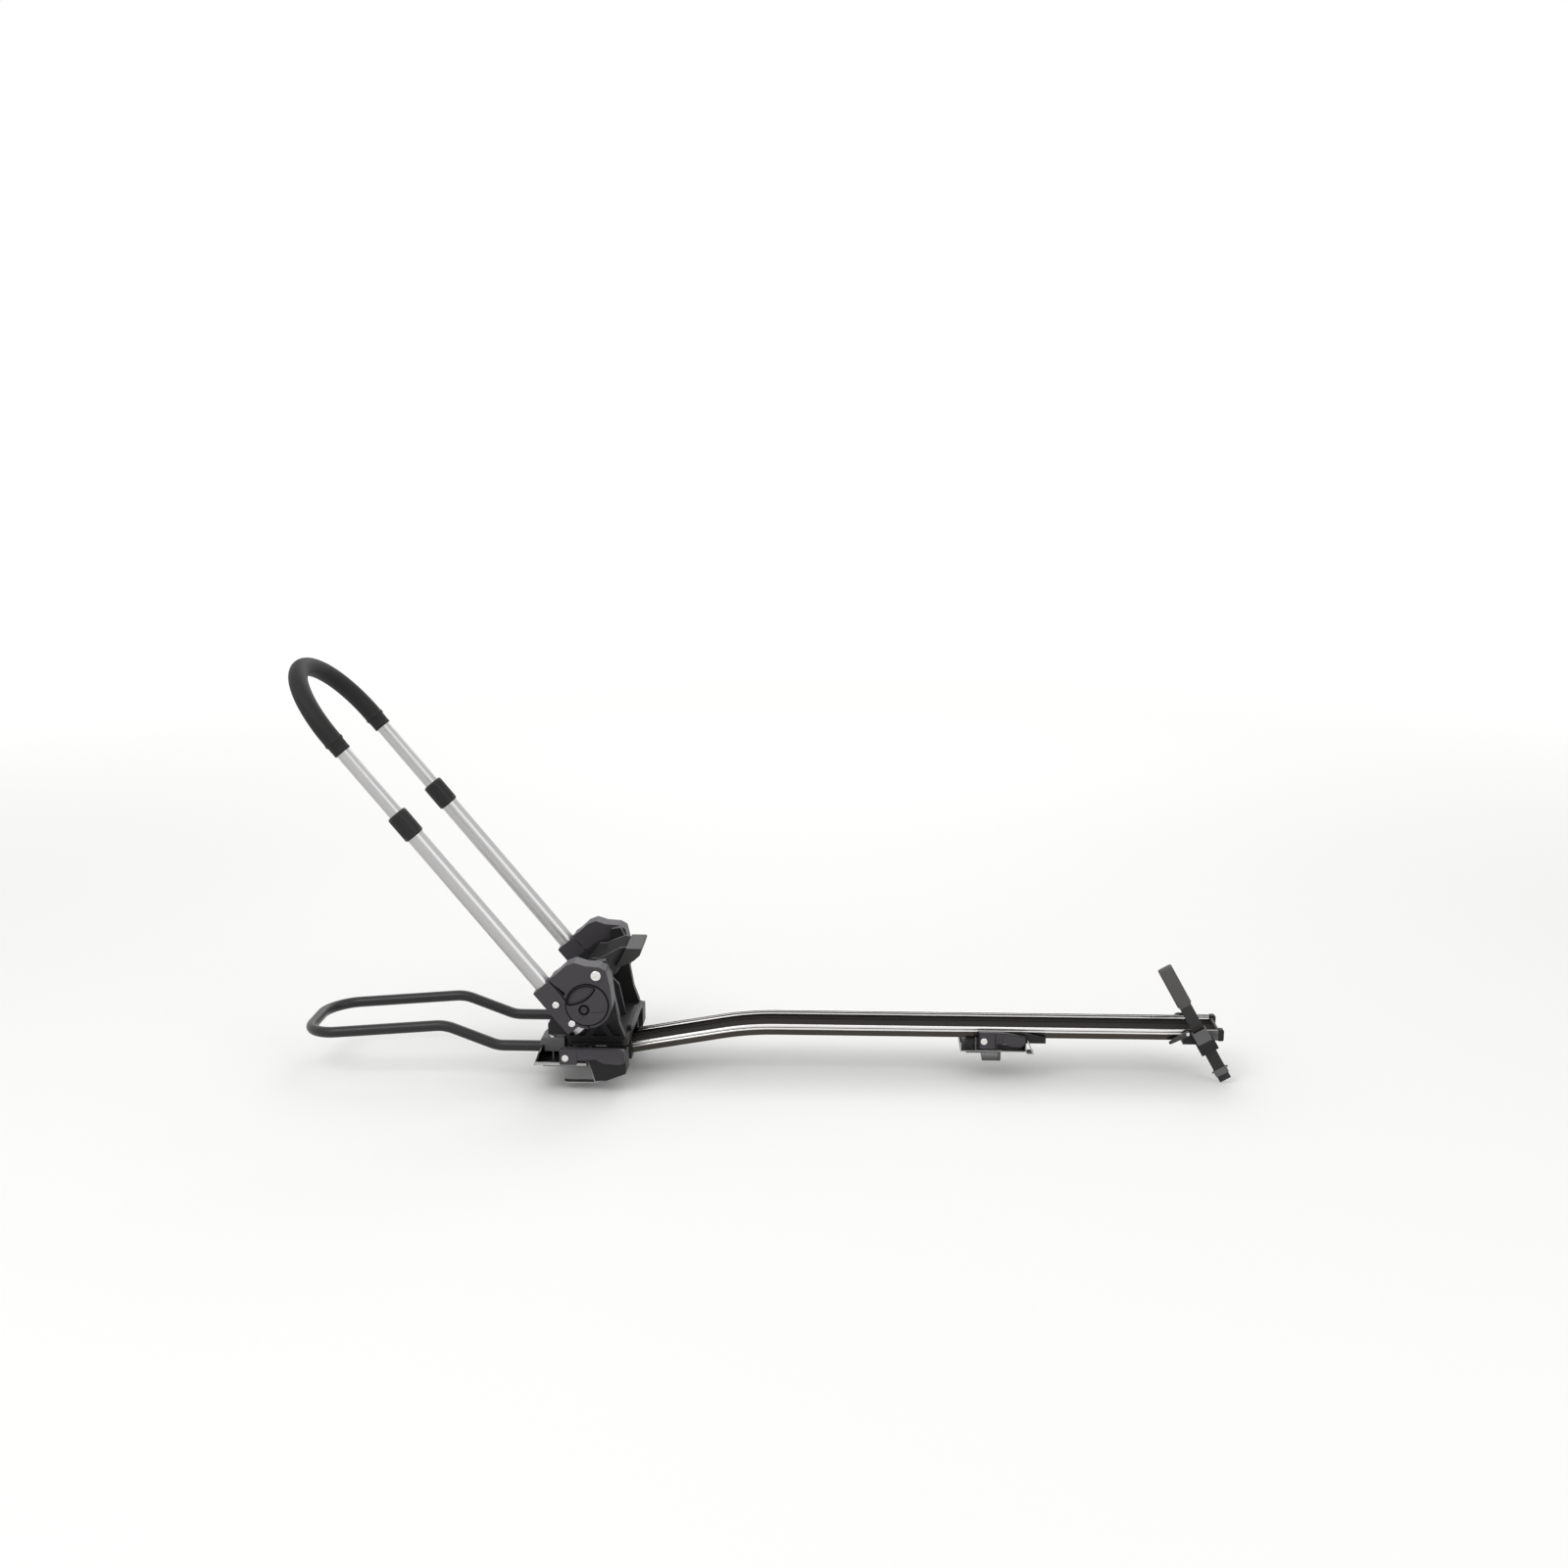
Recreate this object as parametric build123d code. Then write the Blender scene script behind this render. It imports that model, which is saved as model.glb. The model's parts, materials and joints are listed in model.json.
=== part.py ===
from build123d import *
import math
import os

# Roof mounted bicycle carrier that holds the bicycle by its wheels.
# Millimetres. X runs towards the rear of the car, Y across it, Z up.
# The origin is the middle of the front bar seat, on the underside of its rubber pad.
# The near side is the side of -Y, where the knob and the clamp levers are.

# General clearances and cuts
running_gap = 0.06
seat_gap = 0.1
side_gap = 0.3
overrun = 2.0

# The bicycle wheel that the carrier is set for
wheel_radius = 377.0

# Bar seats
bar_spacing = 715.0
pad_thickness = 3.0

# Front channel
channel_wall = 3.0
channel_top = 27.0
channel_front = 57.0
channel_front_lean = 9.0
channel_rear = 35.0
channel_half_width = 150.0
pad_front = 42.0
pad_rear = 31.0
pad_inset = 5.0

# Deck
deck_front = -8.0
deck_rear = 100.0
deck_thickness = 11.0
deck_half_width = 113.0
deck_corner = 10.0
deck_lip_width = 8.0
deck_lip_height = 8.0
deck_lip_half_width = 60.0
deck_groove_depth = 3.0
deck_groove_share = 0.62
deck_bolt_radius = 6.5
deck_bolt_height = 4.0
deck_bolt_shank = 3.0
deck_bolt_x = 18.0
deck_bolt_y = 58.0

# Side castings and arm pivot
pivot_x = 37.0
pivot_z = 112.0
casting_inner = 97.0
casting_thickness = 15.0
casting_hub_radius = 40.0
casting_corner = 5.0
casting_pocket_depth = 9.0

# Pivot hub, friction disc and bush
hub_radius = 18.0
hub_flange_radius = 26.0
hub_flange_thickness = 4.0
hub_reach = 26.0
friction_outer = 36.0
friction_thickness = 1.8
bush_wall = 3.0
spindle_radius = 6.0
far_bolt_head_radius = 9.6
far_bolt_head_height = 3.5
nut_width = 19.0
nut_thickness = 5.0

# Arm heads and covers
head_radius = 42.0
head_inner = 114.1
head_outer = 151.5
head_wall = 4.0
head_corner = 5.0
cover_thickness = 6.0
cover_edge = 18.5
groove_width = 2.0
cover_fillet = 1.5
boss_radius = 26.0
screw_boss_radius = 9.0
boss_end_wall = 4.0

# Arms
arm_lean = 50.8
arm_offset = 41.0
arm_spread = 133.0
lower_tube_radius = 15.0
lower_tube_wall = 2.4
lower_tube_foot = 30.0
lower_tube_top = 440.0
socket_half_width = 18.2
socket_foot = 20.0
socket_mouth = 72.0

# Lock collars
collar_radius = 18.0
collar_foot = 404.0
collar_top = 453.0
collar_lip = 4.0
collar_chamfer = 2.5
collar_rib_depth = 0.7
collar_rib_count = 18
collar_rib_width = 3.0
collar_end_band = 7.0
wedge_length = 8.0

# Sliding hoop
hoop_tube_radius = 12.5
hoop_tube_wall = 1.8
hoop_foot = 272.0
hoop_bend_start = 614.0
plug_length = 24.0
plug_flange = 4.0
cover_radius = 16.2
grip_foot = 587.0
grip_radius = 15.2
grip_step = 26.0
grip_bump_radius = 18.0
grip_bump_length = 12.0
grip_neck_length = 8.0
grip_edge = 1.5

# Bolts on the arm heads
cover_bolt_radius = 9.0
cover_bolt_height = 4.5
cover_bolt_shank = 4.0
cover_bolt_x = 53.0
cover_bolt_z = 164.0
socket_bolt_radius = 6.2
socket_bolt_height = 4.0
socket_bolt_shank = 3.0
upper_bolt_at = 33.4
lower_bolt_at = -9.0
bolt_recess_radius = 3.6
bolt_recess_depth = 1.6

# Knob and lock
knob_radius = 35.2
knob_inner = 149.0
knob_outer = 154.5
knob_gap = 0.5
knob_edge = 1.2
knob_boss_radius = 11.0
crescent_depth = 3.5
crescent_rim = 1.6
crescent_sagitta = 8.5
crescent_half_chord = 28.5
crescent_turn = 31.4
crescent_middle = 18.3
lock_radius = 5.5
lock_ring = 1.6
lock_depth = 4.0
lock_x = -5.0
lock_z = -8.0
key_slot_length = 6.0
key_slot_width = 1.2
key_slot_depth = 1.5
washer_outer = 14.0
washer_thickness = 1.8

# Wheel stop
stop_pad_thickness = 2.0
stop_pad_squeeze = 1.5
stop_wall = 3.3
stop_half_width = 50.0
stop_x = 48.29
stop_z = 112.45
stop_angle = 37.7
stop_length = 161.9
stop_cheek_depth = 42.0
stop_shoulder_depth = 25.0
stop_floor_half_width = 31.0
stop_cheek_wall = 3.5
stop_lip_half_width = 46.0
stop_lip_top = 181.0
stop_lip_reach = 118.6
stop_top_flat = 39.0
stop_top_slope = 35.0
stop_top_drop = 17.0
stop_rib_wall = 8.0
stop_rib_centre = 30.0
stop_rib_front = 8.0
stop_rib_rear = 80.0
stop_pad_half_width = 27.0

# Cradle loop
cradle_radius = 9.5
cradle_wall = 1.8
cradle_half_width = 86.0
cradle_height = 15.8
cradle_end = 9.0
cradle_dip = 130.0
cradle_crest = 222.0
cradle_crest_height = 51.0
cradle_reach = 472.0
cradle_front_height = 31.0
cradle_dip_radius = 60.0
cradle_crest_radius = 70.0
cradle_corner_radius = 58.0

# Saddle blocks of the cradle
saddle_front = 51.0
saddle_rear = 9.5
saddle_step = 44.0
saddle_top = 40.0
saddle_slope = 10.0
saddle_inner = 65.5
saddle_outer = 113.0
saddle_screw_radius = 5.0
saddle_screw_height = 3.0
saddle_screw_shank = 2.5
saddle_screw_inset = 6.5

# Tray
tray_half_width = 41.0
tray_depth = 19.0
tray_wall = 2.2
tray_floor_height = 8.5
tray_floor_thickness = 2.0
tray_lip_width = 9.0
tray_lip_thickness = 2.0
tray_bead_radius = 2.4
tray_lower_bead_radius = 1.7
tray_lower_bead_height = 11.5
tray_underside = 26.0
tray_end = 1122.0
tray_bend_end = 350.0
tray_bend_start = 258.0
tray_slope = 10.0
tray_front = 64.0
tray_rib_height = 0.8
tray_rib_width = 1.6

# Tray end caps and end plate
cap_length = 9.0
cap_overlap = 1.6
cap_inset = 8.0
end_plate_thickness = 3.0

# Tray socket
socket_front = 55.0
socket_rear = 99.0
socket_wall = 7.0
socket_floor = 8.0
tray_bolt_radius = 6.5
tray_bolt_height = 3.5
tray_bolt_shank = 3.0
tray_bolt_spread = 10.0

# Front clamp
shaft_radius = 4.0
shaft_z = 22.3
cam_radius = 8.5
cam_throw = 5.0
cam_turn = 40.0
cam_width = 12.0
claw_centre = 127.0
claw_half_width = 11.0
claw_thickness = 2.0
claw_gap = 0.3
claw_ear_top = 24.0
claw_leg_x = 37.4
claw_leg_run = 8.0
claw_leg_drop = 38.0
claw_toe_reach = 8.0
claw_toe_half_width = 7.0
claw_flange_reach = 24.0
claw_flange_rise = 5.0
jaw_front_gap = 0.3
jaw_rear = 101.0
jaw_top = 24.0
jaw_rear_foot = 11.0
jaw_inner = 106.0
jaw_outer = 149.0
jaw_foot_share = 0.8
lever_gap = 1.5
lever_thickness = 10.0
lever_hub_height = 28.0
lever_hub_ahead = 10.0
lever_hub_below = 12.3
lever_length = 101.0
lever_corner = 4.0
lever_bolt_radius = 4.0
lever_bolt_height = 2.5

# Rear clamp
rear_channel_front = 40.0
rear_channel_rear = 75.0
rear_channel_top = 19.5
rear_channel_half_width = 50.0
rear_pad_reach = 30.0
rear_saddle_front = 10.0
rear_saddle_rear = 108.0
rear_cheek_top = 38.5
rear_cheek_wall = 7.0
rear_cheek_gap = 0.5
rear_tongue_width = 36.0
rear_neck_width = 28.0
rear_pivot_z = 26.5
rear_lever_length = 72.0
rear_hub_ahead = 8.0
rear_hub_height = 29.0
rear_hub_below = 14.0
rear_cam_thickness = 4.0
rear_lever_thickness = 8.0
rear_pin_radius = 3.5
rear_claw_half_width = 18.0
rear_claw_drop = 33.0
rear_ear_inset = 2.0
catch_thickness = 2.0
catch_width = 10.0
catch_rise = 24.0
catch_lean = 10.0
catch_foot = 10.0

# Wheel strap
strap_base_front = 1060.0
strap_base_rear = 1112.0
strap_base_floor = 5.0
strap_cheek_wall = 5.0
strap_cheek_top = 47.0
strap_lean = 29.5
strap_x = 1090.0
strap_z = 40.0
strap_width = 21.0
strap_thickness = 3.0
strap_side = 54.6
strap_shoulder_side = 27.0
strap_shoulder = 96.0
strap_apex = 121.0
strap_tail = 92.0
strap_side_bend = 54.0
strap_corner = 25.0
strap_far_tail = 18.0
strap_top_bend = 20.0
buckle_length = 34.0
buckle_width = 27.0
buckle_inner_gap = 0.3
buckle_thickness = 11.0
buckle_slot_gap = 0.5
buckle_lever_x = 1067.0
buckle_lever_z = 41.5
buckle_lever_length = 34.0
buckle_lever_height = 9.0
buckle_lever_tip_height = 4.0
buckle_lever_thickness = 6.0
buckle_lever_droop = 30.0
buckle_rivet_radius = 3.2
buckle_rivet_height = 1.6
buckle_rivet_shank = 2.0
buckle_corner = 3.0

# Worked out from the driving sizes
plate_top = pad_thickness + channel_wall
deck_top = channel_top + deck_thickness
deck_length = deck_rear - deck_front
casting_outer = casting_inner + casting_thickness
casting_height = pivot_z - deck_top
bush_outer = hub_radius + running_gap + bush_wall
arm_x, arm_z = -math.cos(math.radians(arm_lean)), math.sin(math.radians(arm_lean))
foot_x = pivot_x - arm_offset * arm_z
foot_z = pivot_z + arm_offset * arm_x
hub_end = casting_outer + hub_reach
cover_inner = head_outer - cover_thickness
lever_inner = channel_half_width + lever_gap + lever_thickness / 2
lever_outer = lever_inner + lever_thickness
rear_x = bar_spacing
rear_cheek_inner = tray_half_width + tray_bead_radius + rear_cheek_gap
rear_cheek_outer = rear_cheek_inner + rear_cheek_wall
tray_top = tray_underside + tray_depth
tray_slope_drop = math.tan(math.radians(tray_slope))
strap_cheek_inner = tray_half_width + tray_bead_radius + rear_cheek_gap
strap_cheek_outer = strap_cheek_inner + strap_cheek_wall


def side_face(points, rounding=0.0):
    """A closed outline in X and Z, with its corners rounded."""
    face = make_face(Polyline(*points, close=True))
    return fillet(face.vertices(), rounding) if rounding else face


def side_disc(x, z, radius):
    """A disc in the X and Z outline plane."""
    return Pos(x, z) * Circle(radius)


def across(face, near, far):
    """A slab of an outline in X and Z, from Y = near to Y = far."""
    return extrude(Plane.XZ.offset(-far) * face, amount=far - near)


def rod(x, z, radius, near, far):
    """A round bar along Y."""
    frame = Plane(origin=(x, near, z), x_dir=(1, 0, 0), z_dir=(0, 1, 0))
    return frame * Cylinder(radius, far - near, align=(Align.CENTER, Align.CENTER, Align.MIN))


def block(x0, x1, y0, y1, z0, z1):
    """A box between two corners."""
    centre = Pos((x0 + x1) / 2, (y0 + y1) / 2, (z0 + z1) / 2)
    return centre * Box(x1 - x0, y1 - y0, z1 - z0)


def scaled(shares, x, z, width, height):
    """Outline points from shares of a width and a height, from the corner x, z."""
    return [(x + share_x * width, z + share_z * height) for share_x, share_z in shares]


def arm_frame(along, side=-1):
    """Plane square to the arm, at a distance along it from its foot point."""
    origin = (foot_x + along * arm_x, side * arm_spread, foot_z + along * arm_z)
    return Plane(origin=origin, x_dir=(0, 1, 0), z_dir=(arm_x, 0, arm_z))


def arm_tube(radius, start, end, side=-1):
    height = end - start
    return arm_frame(start, side) * Cylinder(
        radius, height, align=(Align.CENTER, Align.CENTER, Align.MIN)
    )


def arm_point(along, sideways):
    """X and Z of a point beside the arm's axis, sideways towards the pivot."""
    return (foot_x + along * arm_x + sideways * arm_z, foot_z + along * arm_z - sideways * arm_x)


def far_side(shape):
    return mirror(shape, about=Plane.XZ)


def both_sides(shape):
    return Compound(children=[shape, far_side(shape)])


def panhead(x, z, head_radius, head_height, face, shank_radius, shank_end):
    """A bolt along Y on the near side, with a socket in its head."""
    head = rod(x, z, head_radius, -face - head_height, -face)
    head = fillet(head.edges().group_by(Axis.Y)[0], head_height / 2)
    scale = head_radius / cover_bolt_radius
    socket_depth = bolt_recess_depth * scale
    outer = -face - head_height
    frame = Plane(origin=(x, outer, z), x_dir=(1, 0, 0), z_dir=(0, 1, 0))
    socket = frame * extrude(RegularPolygon(bolt_recess_radius * scale, 6), amount=socket_depth)
    return head - socket + rod(x, z, shank_radius, -face, -shank_end)


# Tray

def tray_section():
    """Channel section: floor, two walls with beads, lips of the slot underneath."""
    half = tray_half_width
    inner = half - tray_wall
    floor = Pos(0, tray_floor_height + tray_floor_thickness / 2) * Rectangle(
        2 * half, tray_floor_thickness
    )
    section = floor
    for sign in (-1, 1):
        wall = Pos(sign * (half - tray_wall / 2), tray_depth / 2) * Rectangle(tray_wall, tray_depth)
        lip_centre = half - (tray_lip_width + tray_wall) / 2
        lip = Pos(sign * lip_centre, tray_lip_thickness / 2) * Rectangle(
            tray_lip_width + tray_wall, tray_lip_thickness
        )
        bead = Pos(sign * half, tray_depth - tray_bead_radius) * Circle(tray_bead_radius)
        low_bead = Pos(sign * half, tray_lower_bead_height) * Circle(tray_lower_bead_radius)
        rib = Pos(sign * inner / 2, tray_floor_height + tray_floor_thickness + tray_rib_height / 2)
        section += wall + lip + bead + low_bead + rib * Rectangle(tray_rib_width, tray_rib_height)
    return section


def tray_path():
    """Centre line of the tray's underside: slope, gentle bend, level run."""
    bend = tray_bend_end - tray_bend_start
    mid = (tray_bend_start + tray_bend_end) / 2
    front = (tray_front, 0, tray_underside - (mid - tray_front) * tray_slope_drop)
    corner = (mid, 0, tray_underside)
    tangent = bend / 2
    radius = tangent / math.tan(math.radians(tray_slope) / 2)
    return FilletPolyline(front, corner, (tray_end, 0, tray_underside), radius=radius)


def make_tray():
    path = tray_path()
    start = Plane(origin=path @ 0, x_dir=(0, 1, 0), z_dir=path % 0)
    return sweep(start * tray_section(), path=path)


def tray_end_pieces():
    """Black caps on the ends of the two side rails, and the plate between them."""
    outer = tray_half_width + tray_bead_radius + cap_overlap
    inner = tray_half_width - cap_inset
    cap = block(tray_end, tray_end + cap_length, -outer, -inner,
                tray_underside, tray_top + cap_overlap)
    cap = fillet(cap.edges().filter_by(Axis.Y).sort_by(Axis.X)[-2:], cap_length / 3)
    plate = block(tray_end, tray_end + end_plate_thickness, -inner, inner,
                  tray_underside, tray_top - tray_bead_radius)
    return both_sides(cap), plate


def tray_line(x):
    """Height of the underside of the tray's sloping front part."""
    mid = (tray_bend_start + tray_bend_end) / 2
    return tray_underside - (mid - x) * tray_slope_drop


def make_tray_socket():
    """Block under the deck that holds the tray's sloping front end."""
    outer = tray_half_width + tray_bead_radius + socket_wall
    depth = socket_floor / math.cos(math.radians(tray_slope))
    low_front = tray_line(socket_front) - depth
    low_rear = tray_line(socket_rear) - depth
    outline = [(socket_front, low_front), (socket_rear, low_rear),
               (socket_rear, channel_top), (socket_front, channel_top)]
    body = across(side_face(outline), -outer, outer)
    hollow_half = tray_half_width + tray_bead_radius + seat_gap
    start = tray_front - tray_depth * math.sin(math.radians(tray_slope)) - seat_gap
    hollow = [(start, tray_line(start)), (socket_rear + overrun, tray_line(socket_rear + overrun)),
              (socket_rear + overrun, deck_top), (start, deck_top)]
    return body - across(side_face(hollow), -hollow_half, hollow_half) - tray_bolt_holes()


def tray_bolt_frame(side):
    """Where a tray bolt's head seats, on the tray's floor."""
    x = (socket_front + socket_rear) / 2 + tray_bolt_radius / 2
    lift = tray_floor_height + tray_floor_thickness
    tilt = math.radians(tray_slope)
    origin = (x - lift * math.sin(tilt), side * tray_bolt_spread, tray_line(x) + lift * math.cos(tilt))
    return Plane(origin=origin, x_dir=(0, 1, 0), z_dir=(-math.sin(tilt), 0, math.cos(tilt)))


def tray_bolt_holes():
    reach = tray_depth + socket_floor
    holes = [
        tray_bolt_frame(side)
        * Cylinder(tray_bolt_shank + seat_gap, 2 * reach)
        for side in (-1, 1)
    ]
    return holes[0] + holes[1]


def make_tray_bolts():
    length = tray_floor_height + tray_floor_thickness + socket_floor
    shank = Cylinder(tray_bolt_shank, length, align=(Align.CENTER, Align.CENTER, Align.MAX))
    head = Cylinder(tray_bolt_radius, tray_bolt_height, align=(Align.CENTER, Align.CENTER, Align.MIN))
    return Compound(children=[tray_bolt_frame(side) * (head + shank) for side in (-1, 1)])


# Front channel, pad and deck


def cradle_path():
    y = cradle_half_width
    half = [
        (-cradle_end, -y, cradle_height),
        (-cradle_dip, -y, cradle_height),
        (-cradle_crest, -y, cradle_crest_height),
        (-cradle_reach, -y, cradle_front_height),
    ]
    points = half + [(x, -side, z) for x, side, z in reversed(half)]
    radii = [cradle_dip_radius, cradle_crest_radius, cradle_corner_radius]
    return FilletPolyline(*points, radius=radii + radii[::-1])


def make_cradle_tube():
    path = cradle_path()
    start = Plane(origin=path @ 0, z_dir=path % 0)
    ring = Circle(cradle_radius) - Circle(cradle_radius - cradle_wall)
    return sweep(start * ring, path=path)


def make_front_channel():
    """Folded steel channel with a leaning front flange."""
    bottom, top = pad_thickness, channel_top
    wall = channel_wall
    front, rear = -channel_front, channel_rear
    lean_top = front + channel_front_lean
    foot = front + wall + wall * channel_front_lean / (top - bottom)
    outline = [(front, bottom), (rear, bottom), (rear, top), (rear - wall, top),
               (rear - wall, bottom + wall), (foot, bottom + wall),
               (lean_top + wall, top), (lean_top, top)]
    body = across(side_face(outline), -channel_half_width, channel_half_width)
    for side in (-1, 1):
        leg = rod_along_x(-channel_front - overrun, 0, side * cradle_half_width,
                          cradle_height, cradle_radius + seat_gap)
        y0, y1 = claw_span(side, claw_half_width + claw_gap)
        slot = block(rear - wall - overrun, rear + overrun, y0, y1, plate_top,
                     plate_top + claw_thickness + 2 * claw_gap)
        body = body - leg - slot
    return body - deck_bolt_holes()


def rod_along_x(x0, x1, y, z, radius):
    frame = Plane(origin=(x0, y, z), x_dir=(0, 1, 0), z_dir=(1, 0, 0))
    return frame * Cylinder(radius, x1 - x0, align=(Align.CENTER, Align.CENTER, Align.MIN))


def make_front_pad():
    half = channel_half_width - pad_inset
    return block(-pad_front, pad_rear, -half, half, 0, pad_thickness)


def make_deck():
    """Cross slab between the side castings, with a raised rear lip."""
    slab = block(deck_front, deck_rear, -deck_half_width, deck_half_width, channel_top, deck_top)
    slab = fillet(slab.edges().filter_by(Axis.Z), deck_corner)
    lip = block(deck_rear - deck_lip_width, deck_rear, -deck_lip_half_width, deck_lip_half_width,
                deck_top, deck_top + deck_lip_height)
    lip = fillet(lip.edges().filter_by(Axis.X).group_by(Axis.Z)[-1], deck_lip_height / 2)
    slab = slab + lip
    groove_top = channel_top + deck_thickness * deck_groove_share
    groove_foot = channel_top + deck_thickness * (1 - deck_groove_share)
    for side in (-1, 1):
        y = side * deck_half_width
        slab -= block(deck_front + deck_corner, deck_rear - deck_corner, y - deck_groove_depth,
                      y + deck_groove_depth, groove_foot, groove_top)
    return slab - deck_bolt_holes()


def deck_bolt_holes():
    holes = [
        Pos(deck_bolt_x, side * deck_bolt_y, 0)
        * Cylinder(deck_bolt_shank + seat_gap, 2 * (deck_top + overrun))
        for side in (-1, 1)
    ]
    return holes[0] + holes[1]


def make_deck_bolts():
    head = Pos(0, 0, deck_top) * Cylinder(
        deck_bolt_radius, deck_bolt_height, align=(Align.CENTER, Align.CENTER, Align.MIN)
    )
    head = fillet(head.edges().group_by(Axis.Z)[-1], deck_bolt_height / 2)
    length = deck_top - pad_thickness
    shank = Pos(0, 0, deck_top) * Cylinder(
        deck_bolt_shank, length, align=(Align.CENTER, Align.CENTER, Align.MAX)
    )
    bolt = head + shank
    return Compound(children=[Pos(deck_bolt_x, s * deck_bolt_y, 0) * bolt for s in (-1, 1)])


# Cradle saddle blocks


def make_saddle():
    """Near block that clamps a leg of the cradle loop to the channel."""
    outline = [(-saddle_step, cradle_height), (-saddle_rear, cradle_height),
               (-saddle_rear, saddle_top), (-saddle_front + saddle_slope / 2, saddle_top),
               (-saddle_front, saddle_top - saddle_slope / 2),
               (-saddle_front, channel_top + seat_gap), (-saddle_step, channel_top + seat_gap)]
    body = across(side_face(outline), -saddle_outer, -saddle_inner)
    leg = rod_along_x(-channel_front - overrun, 0, -cradle_half_width, cradle_height,
                      cradle_radius + seat_gap / 2)
    top = body.faces().sort_by(Axis.Z)[-1]
    body = fillet(top.edges().filter_by(Axis.X), saddle_slope / 4)
    for x, y in saddle_screw_places():
        hole = Pos(x, y, 0) * Cylinder(saddle_screw_shank + seat_gap, 2 * (saddle_top + overrun))
        body -= hole
    return body - leg


def saddle_screw_places():
    x = -(saddle_front + saddle_rear) / 2
    return [(x, -saddle_inner - saddle_screw_inset), (x, -saddle_outer + saddle_screw_inset)]


def make_saddle_screws():
    head = Cylinder(saddle_screw_radius, saddle_screw_height,
                    align=(Align.CENTER, Align.CENTER, Align.MIN))
    head = fillet(head.edges().group_by(Axis.Z)[-1], saddle_screw_height / 3)
    length = saddle_top - plate_top
    shank = Cylinder(saddle_screw_shank, length, align=(Align.CENTER, Align.CENTER, Align.MAX))
    near = [Pos(x, y, saddle_top) * (head + shank) for x, y in saddle_screw_places()]
    return Compound(children=near + [far_side(screw) for screw in near])


# Side castings, hubs and friction discs

casting_shares = [
    (0.02, 0.0), (0.02, 0.1), (-0.27, 0.1), (-0.27, 0.36), (-0.19, 0.58), (-0.19, 0.95),
    (0.08, 1.3), (0.45, 1.45), (0.5, 1.86), (0.66, 1.9), (0.75, 1.62), (0.8, 1.0),
    (0.87, 0.4), (0.97, 0.0),
]
casting_pocket_shares = [
    [(0.07, 0.08), (0.3, 0.08), (0.46, 0.36), (0.3, 0.44), (0.07, 0.44)],
    [(0.42, 0.08), (0.68, 0.08), (0.55, 0.34)],
    [(0.78, 0.08), (0.9, 0.08), (0.82, 0.5), (0.66, 0.34)],
]


def make_casting():
    """Near side casting: legs, hub and an A-shaped rib between three pockets."""
    outline = scaled(casting_shares, deck_front, deck_top, deck_length, casting_height)
    body = across(side_face(outline, casting_corner / 2), -casting_outer, -casting_inner)
    body += rod(pivot_x, pivot_z, casting_hub_radius, -casting_outer, -casting_inner)
    for shares in casting_pocket_shares:
        pocket = scaled(shares, deck_front, deck_top, deck_length, casting_height)
        body -= across(side_face(pocket, casting_corner / 3), -casting_outer - overrun,
                       -casting_outer + casting_pocket_depth)
    return body - rod(pivot_x, pivot_z, hub_radius, -casting_outer - overrun, 0)


def make_pivot_hub():
    flange_end = casting_inner - hub_flange_thickness
    hub = rod(pivot_x, pivot_z, hub_radius, -hub_end, -flange_end)
    hub += rod(pivot_x, pivot_z, hub_flange_radius, -casting_inner, -flange_end)
    return hub - rod(pivot_x, pivot_z, spindle_radius + running_gap, -hub_end - overrun, 0)


def make_friction_disc():
    face = casting_outer + friction_thickness
    disc = rod(pivot_x, pivot_z, friction_outer, -face, -casting_outer)
    return disc - rod(pivot_x, pivot_z, hub_radius + seat_gap / 2, -face - overrun, 0)


def make_nut():
    start = casting_inner - hub_flange_thickness - nut_thickness
    frame = Plane(origin=(pivot_x, -start - nut_thickness, pivot_z), x_dir=(1, 0, 0),
                  z_dir=(0, 1, 0))
    nut = frame * extrude(RegularPolygon(nut_width / 2, 6, major_radius=False), amount=nut_thickness)
    return nut - rod(pivot_x, pivot_z, spindle_radius + running_gap, -casting_inner, 0)


# Arm heads

head_shares = [
    (-1.58, 1.02), (-1.22, 1.28), (-0.86, 1.62), (-0.5, 1.76), (-0.05, 1.62), (0.52, 1.58),
    (0.79, 1.42), (0.95, 0.72), (1.0, 0.1), (0.6, -0.5), (-0.4, 0.1),
]


def head_outline():
    """Outline of the head: round hub, upper block and the arm's socket."""
    points = scaled(head_shares, pivot_x, pivot_z, head_radius, head_radius)
    block_face = side_face(points, head_corner)
    return block_face + side_disc(pivot_x, pivot_z, head_radius) + socket_outline(socket_half_width)


def socket_outline(half):
    corners = [arm_point(-socket_foot, -half), arm_point(socket_mouth, -half),
               arm_point(socket_mouth, half), arm_point(-socket_foot, half)]
    return side_face(corners)


def pivot_side(sideways):
    """Everything on the pivot's side of a line beside the arm."""
    far = 4 * head_radius
    corners = [arm_point(-far, sideways), arm_point(far, sideways),
               arm_point(far, sideways + far), arm_point(-far, sideways + far)]
    return side_face(corners)


def cover_outline(edge):
    return head_outline() & pivot_side(edge)


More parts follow.
